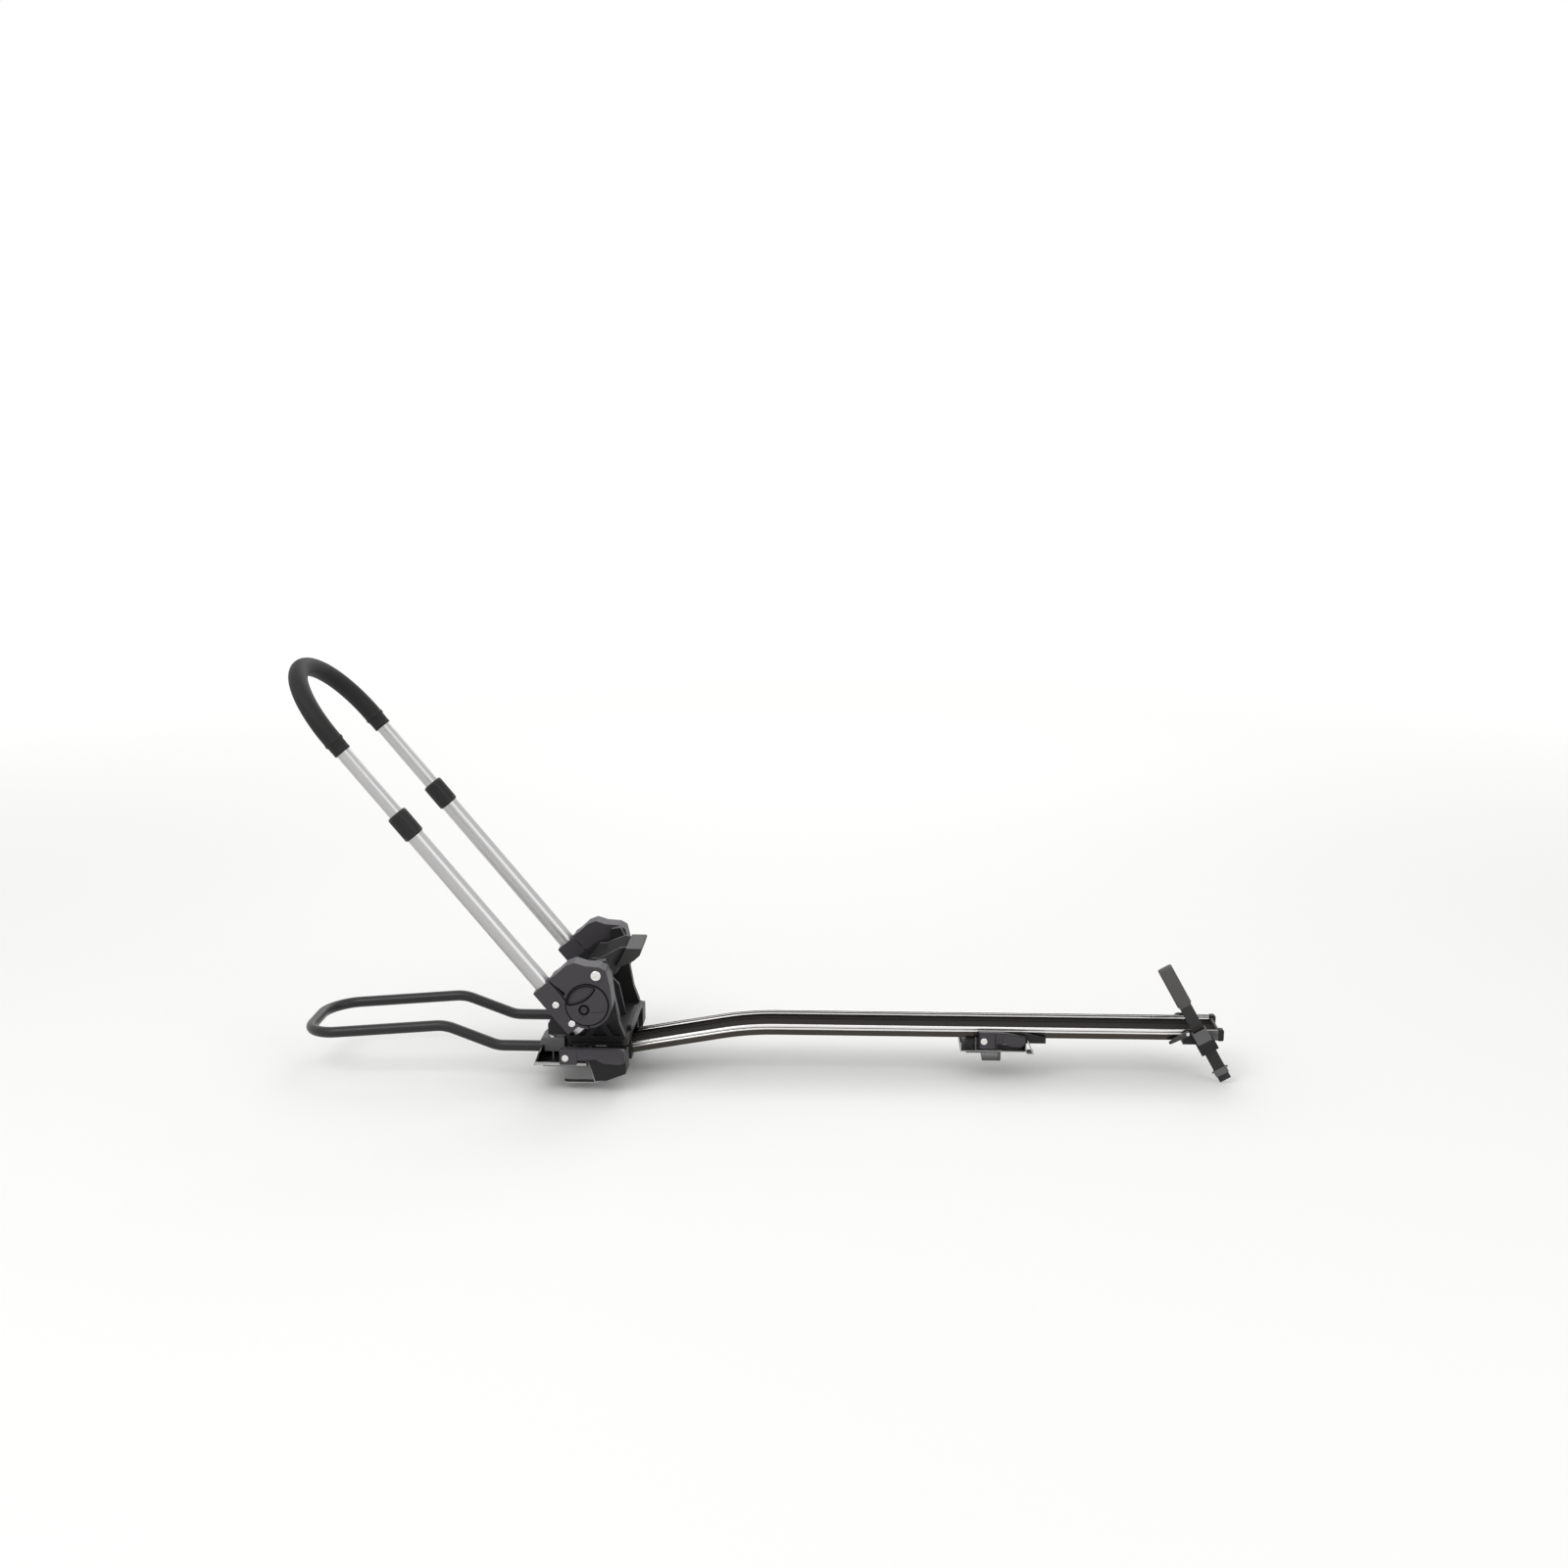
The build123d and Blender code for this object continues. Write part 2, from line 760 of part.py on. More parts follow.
def make_head():
    """Near head: hollow behind its cover, with a bearing boss and the arm's socket."""
    body = across(head_outline(), -head_outer, -head_inner)
    pocket = across(cover_outline(cover_edge - groove_width), -head_outer - overrun, -cover_inner)
    inside = offset(cover_outline(cover_edge + head_wall / 2), amount=-head_wall)
    cavity = across(inside, -cover_inner - overrun, -head_inner - head_wall)
    cavity -= rod(pivot_x, pivot_z, boss_radius, -head_outer, -head_inner)
    cavity -= rod(cover_bolt_x, cover_bolt_z, screw_boss_radius, -head_outer, -head_inner)
    body = body - pocket - cavity
    bore_end = cover_inner - boss_end_wall
    body -= rod(pivot_x, pivot_z, bush_outer, -bore_end, -head_inner + overrun)
    body -= rod(pivot_x, pivot_z, spindle_radius + seat_gap, -head_outer - overrun, 0)
    body -= rod(pivot_x, pivot_z, knob_radius + knob_gap, -head_outer - overrun,
                -knob_inner + seat_gap)
    body -= arm_tube(lower_tube_radius + seat_gap / 2, -socket_foot - head_radius,
                     socket_mouth + head_radius)
    for place, radius in bolt_places():
        body -= rod(place[0], place[1], radius + seat_gap, -head_outer - overrun, -head_inner + overrun)
    return body


def bolt_places():
    """Middle and shank radius of the bolts through the near head."""
    return [
        (arm_point(upper_bolt_at, 0), socket_bolt_shank),
        (arm_point(lower_bolt_at, 0), socket_bolt_shank),
        ((cover_bolt_x, cover_bolt_z), cover_bolt_shank),
    ]


def make_head_cover():
    plate = across(cover_outline(cover_edge), -head_outer, -cover_inner)
    rim = plate.faces().sort_by(Axis.Y)[0].edges()
    plate = fillet(rim, cover_fillet)
    plate -= rod(pivot_x, pivot_z, knob_radius + knob_gap, -head_outer - overrun,
                 -knob_inner + seat_gap)
    plate -= rod(pivot_x, pivot_z, washer_outer + seat_gap, -head_outer - overrun, 0)
    return plate - rod(cover_bolt_x, cover_bolt_z, cover_bolt_shank + seat_gap,
                       -head_outer - overrun, 0)


def make_bush():
    bore_end = cover_inner - boss_end_wall
    bush = rod(pivot_x, pivot_z, bush_outer, -bore_end, -head_inner)
    return bush - rod(pivot_x, pivot_z, hub_radius + running_gap, -bore_end - overrun, 0)


def make_lower_tube():
    tube = arm_tube(lower_tube_radius, -lower_tube_foot, lower_tube_top)
    tube -= arm_tube(lower_tube_radius - lower_tube_wall, -lower_tube_foot - overrun,
                     lower_tube_top + overrun)
    for at in (upper_bolt_at, lower_bolt_at):
        x, z = arm_point(at, 0)
        tube -= rod(x, z, socket_bolt_shank + seat_gap, -head_outer, -head_inner)
    return tube


def make_socket_bolts():
    bolts = []
    for at in (upper_bolt_at, lower_bolt_at):
        x, z = arm_point(at, 0)
        bolts.append(panhead(x, z, socket_bolt_radius, socket_bolt_height, head_outer,
                             socket_bolt_shank, head_inner + head_wall / 2))
    return Compound(children=bolts + [far_side(bolt) for bolt in bolts])


def make_cover_bolts():
    bolt = panhead(cover_bolt_x, cover_bolt_z, cover_bolt_radius, cover_bolt_height, head_outer,
                   cover_bolt_shank, head_inner + head_wall)
    return both_sides(bolt)


def make_washer():
    inner = cover_inner
    washer = rod(pivot_x, pivot_z, washer_outer, -inner - washer_thickness, -inner)
    return washer - rod(pivot_x, pivot_z, spindle_radius + seat_gap, -head_outer, 0)


# Lock collars and wedge rings


def make_collar():
    """Near collar: bore over the lower tube, lip over the sliding tube, grip ribs."""
    collar = arm_tube(collar_radius, collar_foot, collar_top)
    ends = collar.edges().filter_by(GeomType.CIRCLE)
    collar = chamfer(ends, collar_chamfer)
    length = collar_top - collar_foot - 2 * collar_end_band
    mid = (collar_top + collar_foot) / 2
    groove = Box(collar_rib_depth * 2, collar_rib_width, length)
    for step in range(collar_rib_count):
        turn = Rot(0, 0, step * 360 / collar_rib_count)
        collar -= arm_frame(mid) * turn * Pos(collar_radius, 0, 0) * groove
    collar -= arm_tube(lower_tube_radius + running_gap, collar_foot - overrun,
                       collar_top - collar_lip)
    return collar - arm_tube(hoop_tube_radius + seat_gap, collar_foot, collar_top + overrun)


def make_wedge_ring():
    ring = arm_tube(lower_tube_radius, lower_tube_top, lower_tube_top + wedge_length)
    return ring - arm_tube(hoop_tube_radius + running_gap, lower_tube_foot, collar_top)


# Hoop

hoop_plane = Plane(origin=(foot_x, 0, foot_z), x_dir=(0, 1, 0), z_dir=(arm_z, 0, -arm_x))


def hoop_path(start):
    y, bend = arm_spread, hoop_bend_start
    left = Line((-y, start), (-y, bend))
    arch = ThreePointArc((-y, bend), (0, bend + y), (y, bend))
    right = Line((y, bend), (y, start))
    return hoop_plane * Wire([left, arch, right])


def ring_sweep(path, outer, inner):
    start = Plane(origin=path @ 0, z_dir=path % 0)
    return sweep(start * (Circle(outer) - Circle(inner)), path=path)


def make_hoop_tube():
    return ring_sweep(hoop_path(hoop_foot), hoop_tube_radius, hoop_tube_radius - hoop_tube_wall)


def make_plugs():
    """Nylon guides in the lower ends of the sliding tube."""
    bore = lower_tube_radius - lower_tube_wall - running_gap
    flange = arm_tube(bore, hoop_foot - plug_flange, hoop_foot)
    stem = arm_tube(hoop_tube_radius - hoop_tube_wall, hoop_foot, hoop_foot + plug_length)
    return both_sides(flange + stem)


def make_hoop_cover():
    """Rubber sleeve over the arch, with a stepped grip on each leg."""
    bore = hoop_tube_radius + seat_gap / 2
    bump_start = grip_foot + grip_step - grip_bump_length
    sleeve_start = bump_start + grip_bump_length
    sleeve = ring_sweep(hoop_path(sleeve_start), cover_radius, bore)
    profile = Polyline(
        (bore, grip_foot), (grip_radius - grip_edge, grip_foot),
        (grip_radius, grip_foot + grip_edge), (grip_radius, bump_start - grip_neck_length / 4),
        (grip_bump_radius, bump_start + grip_neck_length / 4),
        (grip_bump_radius, sleeve_start - grip_neck_length / 2), (cover_radius, sleeve_start),
        (bore, sleeve_start), close=True)
    leg = Plane(origin=(foot_x, -arm_spread, foot_z), x_dir=(0, 1, 0), z_dir=(arm_z, 0, -arm_x))
    grip = revolve(leg * make_face(profile), axis=Axis(leg.origin, leg.y_dir))
    return sleeve + grip + far_side(grip)


# Knob and lock


def make_knob():
    """Disc knob with a crescent finger recess and a seat for the lock."""
    disc = rod(pivot_x, pivot_z, knob_radius, -knob_outer, -knob_inner)
    disc = fillet(disc.edges().group_by(Axis.Y)[0], knob_edge)
    chord_radius = (crescent_half_chord ** 2 + crescent_sagitta ** 2) / (2 * crescent_sagitta)
    lower_arc = Pos(0, crescent_middle - crescent_sagitta + chord_radius) * Circle(chord_radius)
    lens = Rot(0, 0, crescent_turn) * (Circle(knob_radius - crescent_rim) & lower_arc)
    recess = across(Pos(pivot_x, pivot_z) * lens, -knob_outer - overrun,
                    -knob_outer + crescent_depth)
    seat = rod(pivot_x + lock_x, pivot_z + lock_z, lock_radius + running_gap,
               -knob_outer - overrun, -knob_outer + lock_depth)
    ring = rod(pivot_x + lock_x, pivot_z + lock_z, lock_radius + lock_ring + seat_gap,
               -knob_outer - overrun, -knob_outer + knob_edge)
    boss_end = cover_inner + washer_thickness + seat_gap
    disc += rod(pivot_x, pivot_z, knob_boss_radius, -knob_inner, -boss_end)
    bore = rod(pivot_x, pivot_z, spindle_radius, -knob_outer + lock_depth, 0)
    return disc - recess - seat - ring - bore


def make_spindle():
    start = casting_inner - hub_flange_thickness - nut_thickness
    return rod(pivot_x, pivot_z, spindle_radius, -knob_outer + lock_depth, -start)


def make_lock_barrel():
    x, z = pivot_x + lock_x, pivot_z + lock_z
    face = knob_outer - knob_edge / 2
    barrel = rod(x, z, lock_radius, -face, -knob_outer + lock_depth)
    slot = block(x - key_slot_length / 2, x + key_slot_length / 2, -face - overrun,
                 -face + key_slot_depth, z - key_slot_width / 2, z + key_slot_width / 2)
    return barrel - slot


def make_far_bolt():
    start = casting_inner - hub_flange_thickness - nut_thickness
    head_start = cover_inner + washer_thickness
    bolt = rod(pivot_x, pivot_z, spindle_radius, -head_start, -start)
    head_end = head_start + far_bolt_head_height
    bolt += rod(pivot_x, pivot_z, far_bolt_head_radius, -head_end, -head_start)
    return far_side(bolt)


def make_far_cap():
    cap = rod(pivot_x, pivot_z, knob_radius, -knob_outer, -knob_inner + seat_gap)
    cap = fillet(cap.edges().group_by(Axis.Y)[0], knob_edge)
    room_end = cover_inner + washer_thickness + far_bolt_head_height + side_gap
    cap -= rod(pivot_x, pivot_z, far_bolt_head_radius + side_gap, -room_end, 0)
    return far_side(cap)


# Wheel stop

stop_direction = math.radians(stop_angle)
wheel_x = stop_x - wheel_radius * math.cos(stop_direction)
wheel_z = stop_z + wheel_radius * math.sin(stop_direction)
wheel_centre = (wheel_x, 0, wheel_z)
stop_turn = math.degrees(stop_length / wheel_radius)
stop_top_angle = stop_angle - stop_turn / 2
wheel_axle = Axis(wheel_centre, (0, 1, 0))
stop_floor_radius = wheel_radius + stop_pad_thickness - stop_pad_squeeze + seat_gap


def wheel_sweep(points, start_angle, turn):
    """Turn an outline in radius and Y round the wheel's axle, down from an angle."""
    angle = math.radians(start_angle)
    frame = Plane(origin=wheel_centre, x_dir=(math.cos(angle), 0, -math.sin(angle)),
                  z_dir=(-math.sin(angle), 0, -math.cos(angle)))
    face = frame * make_face(Polyline(*points, close=True))
    return revolve(face, axis=wheel_axle, revolution_arc=turn)


def make_wheel_stop():
    floor, wall = stop_floor_radius, stop_wall
    top, shoulder = wheel_radius - stop_cheek_depth, wheel_radius - stop_shoulder_depth
    half, flat, cheek = stop_half_width, stop_floor_half_width, stop_cheek_wall
    outer = [(top, -half), (shoulder, -half), (floor + wall, -flat - wall),
             (floor + wall, flat + wall), (shoulder, half), (top, half)]
    inner = [(top, half - cheek), (shoulder - cheek / 2, half - cheek), (floor, flat),
             (floor, -flat), (shoulder - cheek / 2, cheek - half), (top, cheek - half)]
    cup = wheel_sweep(outer + inner, stop_top_angle, stop_turn)
    flat_end = stop_lip_reach - stop_top_flat
    slope_end, slope_foot = flat_end - stop_top_slope, stop_lip_top - stop_top_drop
    front, high = slope_end - stop_cheek_depth, stop_lip_top + stop_cheek_depth
    above = [(stop_lip_reach, high), (stop_lip_reach, stop_lip_top), (flat_end, stop_lip_top),
             (slope_end, slope_foot), (front, slope_foot), (front, high)]
    cup -= across(side_face(above), -half - overrun, half + overrun)
    tyre_room = rod(wheel_x, wheel_z, floor, -half - overrun, half + overrun)
    lip_height = stop_lip_top - pivot_z
    lip_depth = stop_lip_reach - pivot_x
    lip_points = scaled(stop_lip_shares, pivot_x, pivot_z, lip_depth, lip_height)
    lip = across(side_face(lip_points), -stop_lip_half_width, stop_lip_half_width) - tyre_room
    ribs = []
    for side in (-1, 1):
        y = side * stop_rib_centre
        outline = scaled(stop_rib_shares, stop_rib_front, deck_top,
                         stop_rib_rear - stop_rib_front, pivot_z - deck_top)
        rib = across(side_face(outline), y - stop_rib_wall / 2, y + stop_rib_wall / 2)
        ribs.append(rib - rod(wheel_x, wheel_z, floor + wall / 2, -half, half))
    return cup + lip + ribs[0] + ribs[1]


stop_lip_shares = [
    (0.42, 0.5), (0.6, 1.0), (0.97, 1.0), (1.0, 0.97), (0.96, 0.82), (0.83, 0.68),
    (0.7, 0.6), (0.48, 0.5),
]
stop_rib_shares = [(0.0, 0.0), (1.0, 0.0), (0.84, 0.75), (0.6, 1.0), (0.0, 0.6)]


def make_stop_pad():
    inner = wheel_radius - stop_pad_squeeze
    outer = inner + stop_pad_thickness
    half = stop_pad_half_width
    points = [(inner, -half), (outer, -half), (outer, half), (inner, half)]
    trim = stop_turn / 12
    return wheel_sweep(points, stop_top_angle + trim, stop_turn - 2 * trim)


# Front clamp


def claw_span(side, half):
    centre = side * claw_centre
    return centre - half, centre + half


def make_claw():
    """Near steel claw: arm in the channel, cam ear, leg behind the bar, toe and flange."""
    low, top = plate_top + claw_gap, plate_top + claw_gap + claw_thickness
    y0, y1 = claw_span(-1, claw_half_width)
    thick = claw_thickness
    ear_rear = -cam_reach() - claw_gap
    arm = block(ear_rear - thick, claw_leg_x, y0, y1, low, top)
    ear = block(ear_rear - thick, ear_rear, y0, y1, low, claw_ear_top)
    leg_x, foot_x_, foot_z_ = claw_leg_x, claw_leg_x + claw_leg_run, low - claw_leg_drop
    leg = side_face([(leg_x - thick, top), (leg_x, top), (foot_x_ + thick, foot_z_),
                     (foot_x_, foot_z_)])
    flange = side_face([(foot_x_, foot_z_), (foot_x_ + claw_flange_reach,
                                             foot_z_ + claw_flange_rise),
                        (foot_x_ + claw_flange_reach, foot_z_ + claw_flange_rise + thick),
                        (foot_x_, foot_z_ + thick)])
    toe = block(-claw_toe_reach, foot_x_ + thick, -claw_centre - claw_toe_half_width,
                -claw_centre + claw_toe_half_width, foot_z_ - thick, foot_z_)
    tip = block(-claw_toe_reach, thick - claw_toe_reach, -claw_centre - claw_toe_half_width,
                -claw_centre + claw_toe_half_width, foot_z_ - thick, foot_z_ + thick)
    return arm + ear + across(leg, y0, y1) + across(flange, y0, y1) + toe + tip


def cam_reach():
    """How far the cam reaches towards the ear in the closed position."""
    return cam_throw * math.cos(math.radians(cam_turn)) + cam_radius


def make_jaw():
    """Near jaw: black block behind the claw's leg."""
    low, top = plate_top + claw_gap, plate_top + claw_gap + claw_thickness
    left = claw_leg_x + claw_leg_run + claw_thickness + jaw_front_gap
    foot = low - claw_leg_drop + claw_flange_rise + claw_thickness + jaw_front_gap
    outline = [(claw_leg_x + jaw_front_gap, top + jaw_front_gap), (claw_leg_x + jaw_front_gap, jaw_top),
               (jaw_rear, jaw_top), (jaw_rear, -jaw_rear_foot),
               (left + claw_flange_reach * jaw_foot_share, foot), (left, foot)]
    return across(side_face(outline), -jaw_outer, -jaw_inner)


def make_cam_shaft():
    """Round shaft across the carrier, with a cam for each claw."""
    shaft = rod(0, shaft_z, shaft_radius, -lever_outer, claw_centre + cam_width)
    angle = math.radians(180 + cam_turn)
    cam_x = cam_throw * math.cos(angle)
    cam_z = shaft_z + cam_throw * math.sin(angle)
    for side in (-1, 1):
        y = side * claw_centre
        shaft += rod(cam_x, cam_z, cam_radius, y - cam_width / 2, y + cam_width / 2)
    return shaft


front_lever_shares = [
    (0.0, 0.0), (0.27, 0.0), (0.27, 0.3), (0.55, 0.36), (0.68, 0.1), (0.92, 0.02), (1.0, 0.14),
    (1.0, 0.9), (0.96, 0.97), (0.6, 1.0), (0.0, 1.0),
]


def make_front_lever():
    hub_x, hub_z = -lever_hub_ahead, shaft_z - lever_hub_below
    outline = scaled(front_lever_shares, hub_x, hub_z, lever_length + lever_hub_ahead,
                     lever_hub_height)
    body = across(side_face(outline, lever_corner / 2), -lever_outer, -lever_inner)
    return body - rod(0, shaft_z, shaft_radius, -lever_outer - overrun, 0)


def make_front_lever_bolt():
    head = rod(0, shaft_z, lever_bolt_radius + claw_thickness, -lever_outer - lever_bolt_height,
               -lever_outer)
    return fillet(head.edges().group_by(Axis.Y)[0], lever_bolt_height / 2)


# Rear clamp


def make_rear_channel():
    """Folded steel channel under the tray, on the rear bar."""
    front, rear = rear_x - rear_channel_front, rear_x + rear_channel_rear
    bottom, top, wall = pad_thickness, rear_channel_top, channel_wall
    outline = [(front, bottom), (rear, bottom), (rear, top), (rear - wall, top),
               (rear - wall, bottom + wall), (front + wall, bottom + wall), (front + wall, top),
               (front, top)]
    half = rear_channel_half_width
    body = across(side_face(outline), -half, half)
    slot = block(rear_claw_leg() - rear_claw_travel(), rear_claw_leg() + rear_claw_travel()
                 + claw_thickness, -rear_claw_half_width - claw_gap,
                 rear_claw_half_width + claw_gap, 0, plate_top + overrun)
    return body - slot


def rear_claw_leg():
    return rear_x + pad_rear + claw_thickness


def rear_claw_travel():
    return 2 * cam_throw * math.cos(math.radians(cam_turn))


def make_rear_pad():
    half = rear_channel_half_width - pad_inset / 2
    return block(rear_x - rear_pad_reach, rear_x + rear_pad_reach, -half, half, 0, pad_thickness)


saddle_cheek_shares = [(0.0, 0.0), (1.0, 0.0), (1.0, 0.3), (0.72, 0.85), (0.66, 1.0), (0.0, 1.0)]


def make_rear_saddle():
    """Black saddle under the tray: base plate, sliding tongue and two outer cheeks."""
    front, rear = rear_x - rear_saddle_front, rear_x + rear_saddle_rear
    top = tray_underside - side_gap
    low = rear_channel_top
    outer = rear_cheek_outer
    body = block(front - rear_channel_front / 2, rear, -outer, outer, low, top)
    for side in (-1, 1):
        outline = scaled(saddle_cheek_shares, front, top, rear - front, rear_cheek_top - top)
        y0, y1 = sorted((side * rear_cheek_inner, side * outer))
        body += across(side_face(outline), y0, y1)
    neck = block(front, rear, -rear_neck_width, rear_neck_width, top,
                 tray_underside + tray_lip_thickness + side_gap)
    tongue = block(front, rear, -rear_tongue_width, rear_tongue_width,
                   tray_underside + tray_lip_thickness + side_gap,
                   tray_underside + tray_floor_height - side_gap)
    body = body + neck + tongue
    return body - rod(rear_x, rear_pivot_z, rear_pin_radius, -outer - overrun, -rear_cheek_inner)


def make_rear_lever():
    """Cam lever: a cam plate inside, hub, ribbed neck and paddle outside."""
    inner = rear_cheek_outer + side_gap
    cam_face = inner + rear_cam_thickness
    outer = cam_face + rear_lever_thickness
    angle = math.radians(180 + cam_turn)
    cam = rod(rear_x + cam_throw * math.cos(angle), rear_pivot_z + cam_throw * math.sin(angle),
              cam_radius, -cam_face, -inner)
    hub_x, hub_z = rear_x - rear_hub_ahead, rear_pivot_z - rear_hub_below
    outline = scaled(rear_lever_shares, hub_x, hub_z, rear_lever_length + rear_hub_ahead,
                     rear_hub_height)
    body = across(side_face(outline, lever_corner / 3), -outer, -cam_face)
    return body + cam - rod(rear_x, rear_pivot_z, rear_pin_radius + running_gap, -outer - overrun, 0)


rear_lever_shares = [
    (0.0, 0.0), (0.39, 0.0), (0.39, 0.3), (0.6, 0.32), (0.68, 0.14), (0.9, 0.12), (1.0, 0.34),
    (1.0, 0.72), (0.55, 0.98), (0.3, 1.0), (0.0, 1.0),
]


def make_rear_lever_bolt():
    outer = rear_cheek_outer + side_gap + rear_cam_thickness + rear_lever_thickness + side_gap
    pin = rod(rear_x, rear_pivot_z, rear_pin_radius, -outer, -rear_cheek_inner)
    head = rod(rear_x, rear_pivot_z, lever_bolt_radius + claw_thickness,
               -outer - lever_bolt_height, -outer)
    return pin + fillet(head.edges().group_by(Axis.Y)[0], lever_bolt_height / 2)


def make_rear_claw():
    """Rear steel claw: sliding arm, cam ear outside the channel, leg and toe."""
    low, top = plate_top + claw_gap, plate_top + claw_gap + claw_thickness
    thick = claw_thickness
    ear_outer = rear_cheek_outer + side_gap + rear_cam_thickness
    ear_inner = rear_channel_half_width + claw_gap
    ear_rear = rear_x - cam_reach() - claw_gap
    leg = rear_claw_leg()
    arm = block(ear_rear - thick, leg, -ear_outer, rear_claw_half_width, low, top)
    ear = block(ear_rear - thick, ear_rear, -ear_outer, -ear_inner - rear_ear_inset, low,
                rear_pivot_z + cam_radius / 2)
    down = block(leg - thick, leg, -rear_claw_half_width, rear_claw_half_width,
                 top - rear_claw_drop, top)
    toe = block(rear_x, leg, -rear_claw_half_width, rear_claw_half_width,
                top - rear_claw_drop, top - rear_claw_drop + thick)
    return arm + ear + down + toe


def make_rear_catch():
    """Thin steel catch beside the lever's tip, on the channel's rear wall."""
    x = rear_x + rear_channel_rear
    low, thick = pad_thickness, catch_thickness
    tongue = side_face([(x + catch_lean, low), (x + catch_lean + thick, low),
                        (x + thick, low + catch_rise), (x, low + catch_rise)])
    inner = rear_cheek_outer + side_gap
    foot = block(x, x + catch_lean + thick, -inner - catch_width,
                 -rear_channel_half_width + catch_foot, low, low + thick)
    return across(tongue, -inner - catch_width, -inner) + foot


# Wheel strap


def strap_plane(y=0.0):
    """Plane of the strap's loop: local x is Y, local y runs up the strap."""
    lean = math.radians(strap_lean)
    up = (-math.sin(lean), 0, math.cos(lean))
    return Plane(origin=(strap_x, y, strap_z), x_dir=(0, 1, 0),
                 z_dir=(up[2], 0, -up[0]))


def make_strap():
    """Rubber strap: tail, straight up the near side, over the rim, down the far side."""
    anchor = strap_cheek_outer + strap_thickness / 2
    points = [(-strap_side, -strap_tail), (-strap_side, strap_corner),
              (-strap_shoulder_side, strap_shoulder), (0, strap_apex),
              (strap_shoulder_side, strap_shoulder), (anchor, strap_corner),
              (anchor, -strap_far_tail)]
    radii = [strap_side_bend, strap_top_bend, strap_top_bend, strap_top_bend, strap_side_bend]
    path = FilletPolyline(*points, radius=radii)
    band = trace(path, line_width=strap_thickness)
    strap = extrude(strap_plane() * band, amount=strap_width / 2, both=True)
    return strap - far_rivet_hole()


def make_strap_base():
    """Black clip under the tray that carries the strap."""
    front, rear = strap_base_front, strap_base_rear
    top = tray_underside - side_gap
    low = top - strap_base_floor
    outer = strap_cheek_outer
    body = block(front, rear, -outer, outer, low, top)
    cheek_outline = scaled(strap_cheek_shares, front, low, rear - front, strap_cheek_top - low)
    for side in (-1, 1):
        y0, y1 = sorted((side * strap_cheek_inner, side * outer))
        body += across(side_face(cheek_outline), y0, y1)
    neck = block(front, rear, -rear_neck_width, rear_neck_width, top,
                 tray_underside + tray_lip_thickness + side_gap)
    tongue = block(front, rear, -rear_tongue_width, rear_tongue_width,
                   tray_underside + tray_lip_thickness + side_gap,
                   tray_underside + tray_floor_height - side_gap)
    body = body + neck + tongue
    near_hole = rod(buckle_lever_x, buckle_lever_z, buckle_rivet_shank + seat_gap, -outer, 0)
    return body - near_hole - far_rivet_hole()


strap_cheek_shares = [
    (0.0, 0.0), (1.0, 0.0), (1.0, 0.35), (0.9, 0.6), (0.62, 0.8), (0.5, 1.0), (0.1, 1.0), (0.0, 0.9),
]


def far_rivet_place():
    """X and Z of the rivet that holds the strap's far end."""
    middle = (strap_plane() * Pos(0, -strap_far_tail / 2, 0)).position
    return middle.X, middle.Z


def far_rivet_hole():
    x, z = far_rivet_place()
    return rod(x, z, buckle_rivet_shank + seat_gap, 0, strap_cheek_outer + 2 * strap_thickness)


def make_buckle_body():
    """Buckle housing on the base's near cheek, with the strap's slot through it."""
    half_slot = strap_thickness / 2 + buckle_inner_gap
    outline = [(-buckle_width / 2, -buckle_length / 2), (buckle_width / 2, -buckle_length / 2),
               (buckle_width / 2, buckle_length / 2), (-buckle_width / 2, buckle_length / 2)]
    face = fillet(make_face(Polyline(*outline, close=True)).vertices(), buckle_corner)
    lean = Pos(strap_x, strap_z) * Rot(0, 0, strap_lean)
    body = across(lean * face, -strap_cheek_outer - buckle_thickness, -strap_cheek_outer)
    body = fillet(body.faces().sort_by(Axis.Y)[0].edges(), buckle_corner / 3)
    slot = strap_plane() * Pos(-strap_side, 0, 0) * Box(
        2 * half_slot, buckle_length + 2 * overrun, strap_width + 2 * buckle_slot_gap)
    return body - slot


def make_buckle_lever():
    """Release lever on the rivet: round eye, nose beside the buckle and a thumb tip."""
    droop = math.radians(buckle_lever_droop)
    x, z = buckle_lever_x, buckle_lever_z
    tip_x = x - buckle_lever_length * math.cos(droop)
    tip_z = z - buckle_lever_length * math.sin(droop)
    side_x = buckle_lever_height / 2 * math.sin(droop)
    side_z = buckle_lever_height / 2 * math.cos(droop)
    tip = buckle_lever_tip_height / buckle_lever_height
    blade = side_face([(x - side_x, z + side_z), (tip_x - side_x * tip, tip_z + side_z * tip),
                       (tip_x + side_x * tip, tip_z - side_z * tip), (x + side_x, z - side_z)])
    outline = blade + side_disc(x, z, buckle_lever_height / 2)
    inner = strap_cheek_outer + side_gap
    outline = outline + side_disc(tip_x, tip_z, buckle_lever_tip_height / 2)
    lever = across(outline, -inner - buckle_lever_thickness, -inner)
    return lever - rod(x, z, buckle_rivet_shank + running_gap, -inner - 2 * buckle_lever_thickness, 0)


def make_strap_rivets():
    """Bright rivets: one carries the buckle lever, one holds the strap's far end."""
    near = make_rivet(buckle_lever_x, buckle_lever_z,
                      strap_cheek_outer + side_gap + buckle_lever_thickness + side_gap)
    far = make_rivet(*far_rivet_place(), strap_cheek_outer + strap_thickness)
    return Compound(children=[near, far_side(far)])


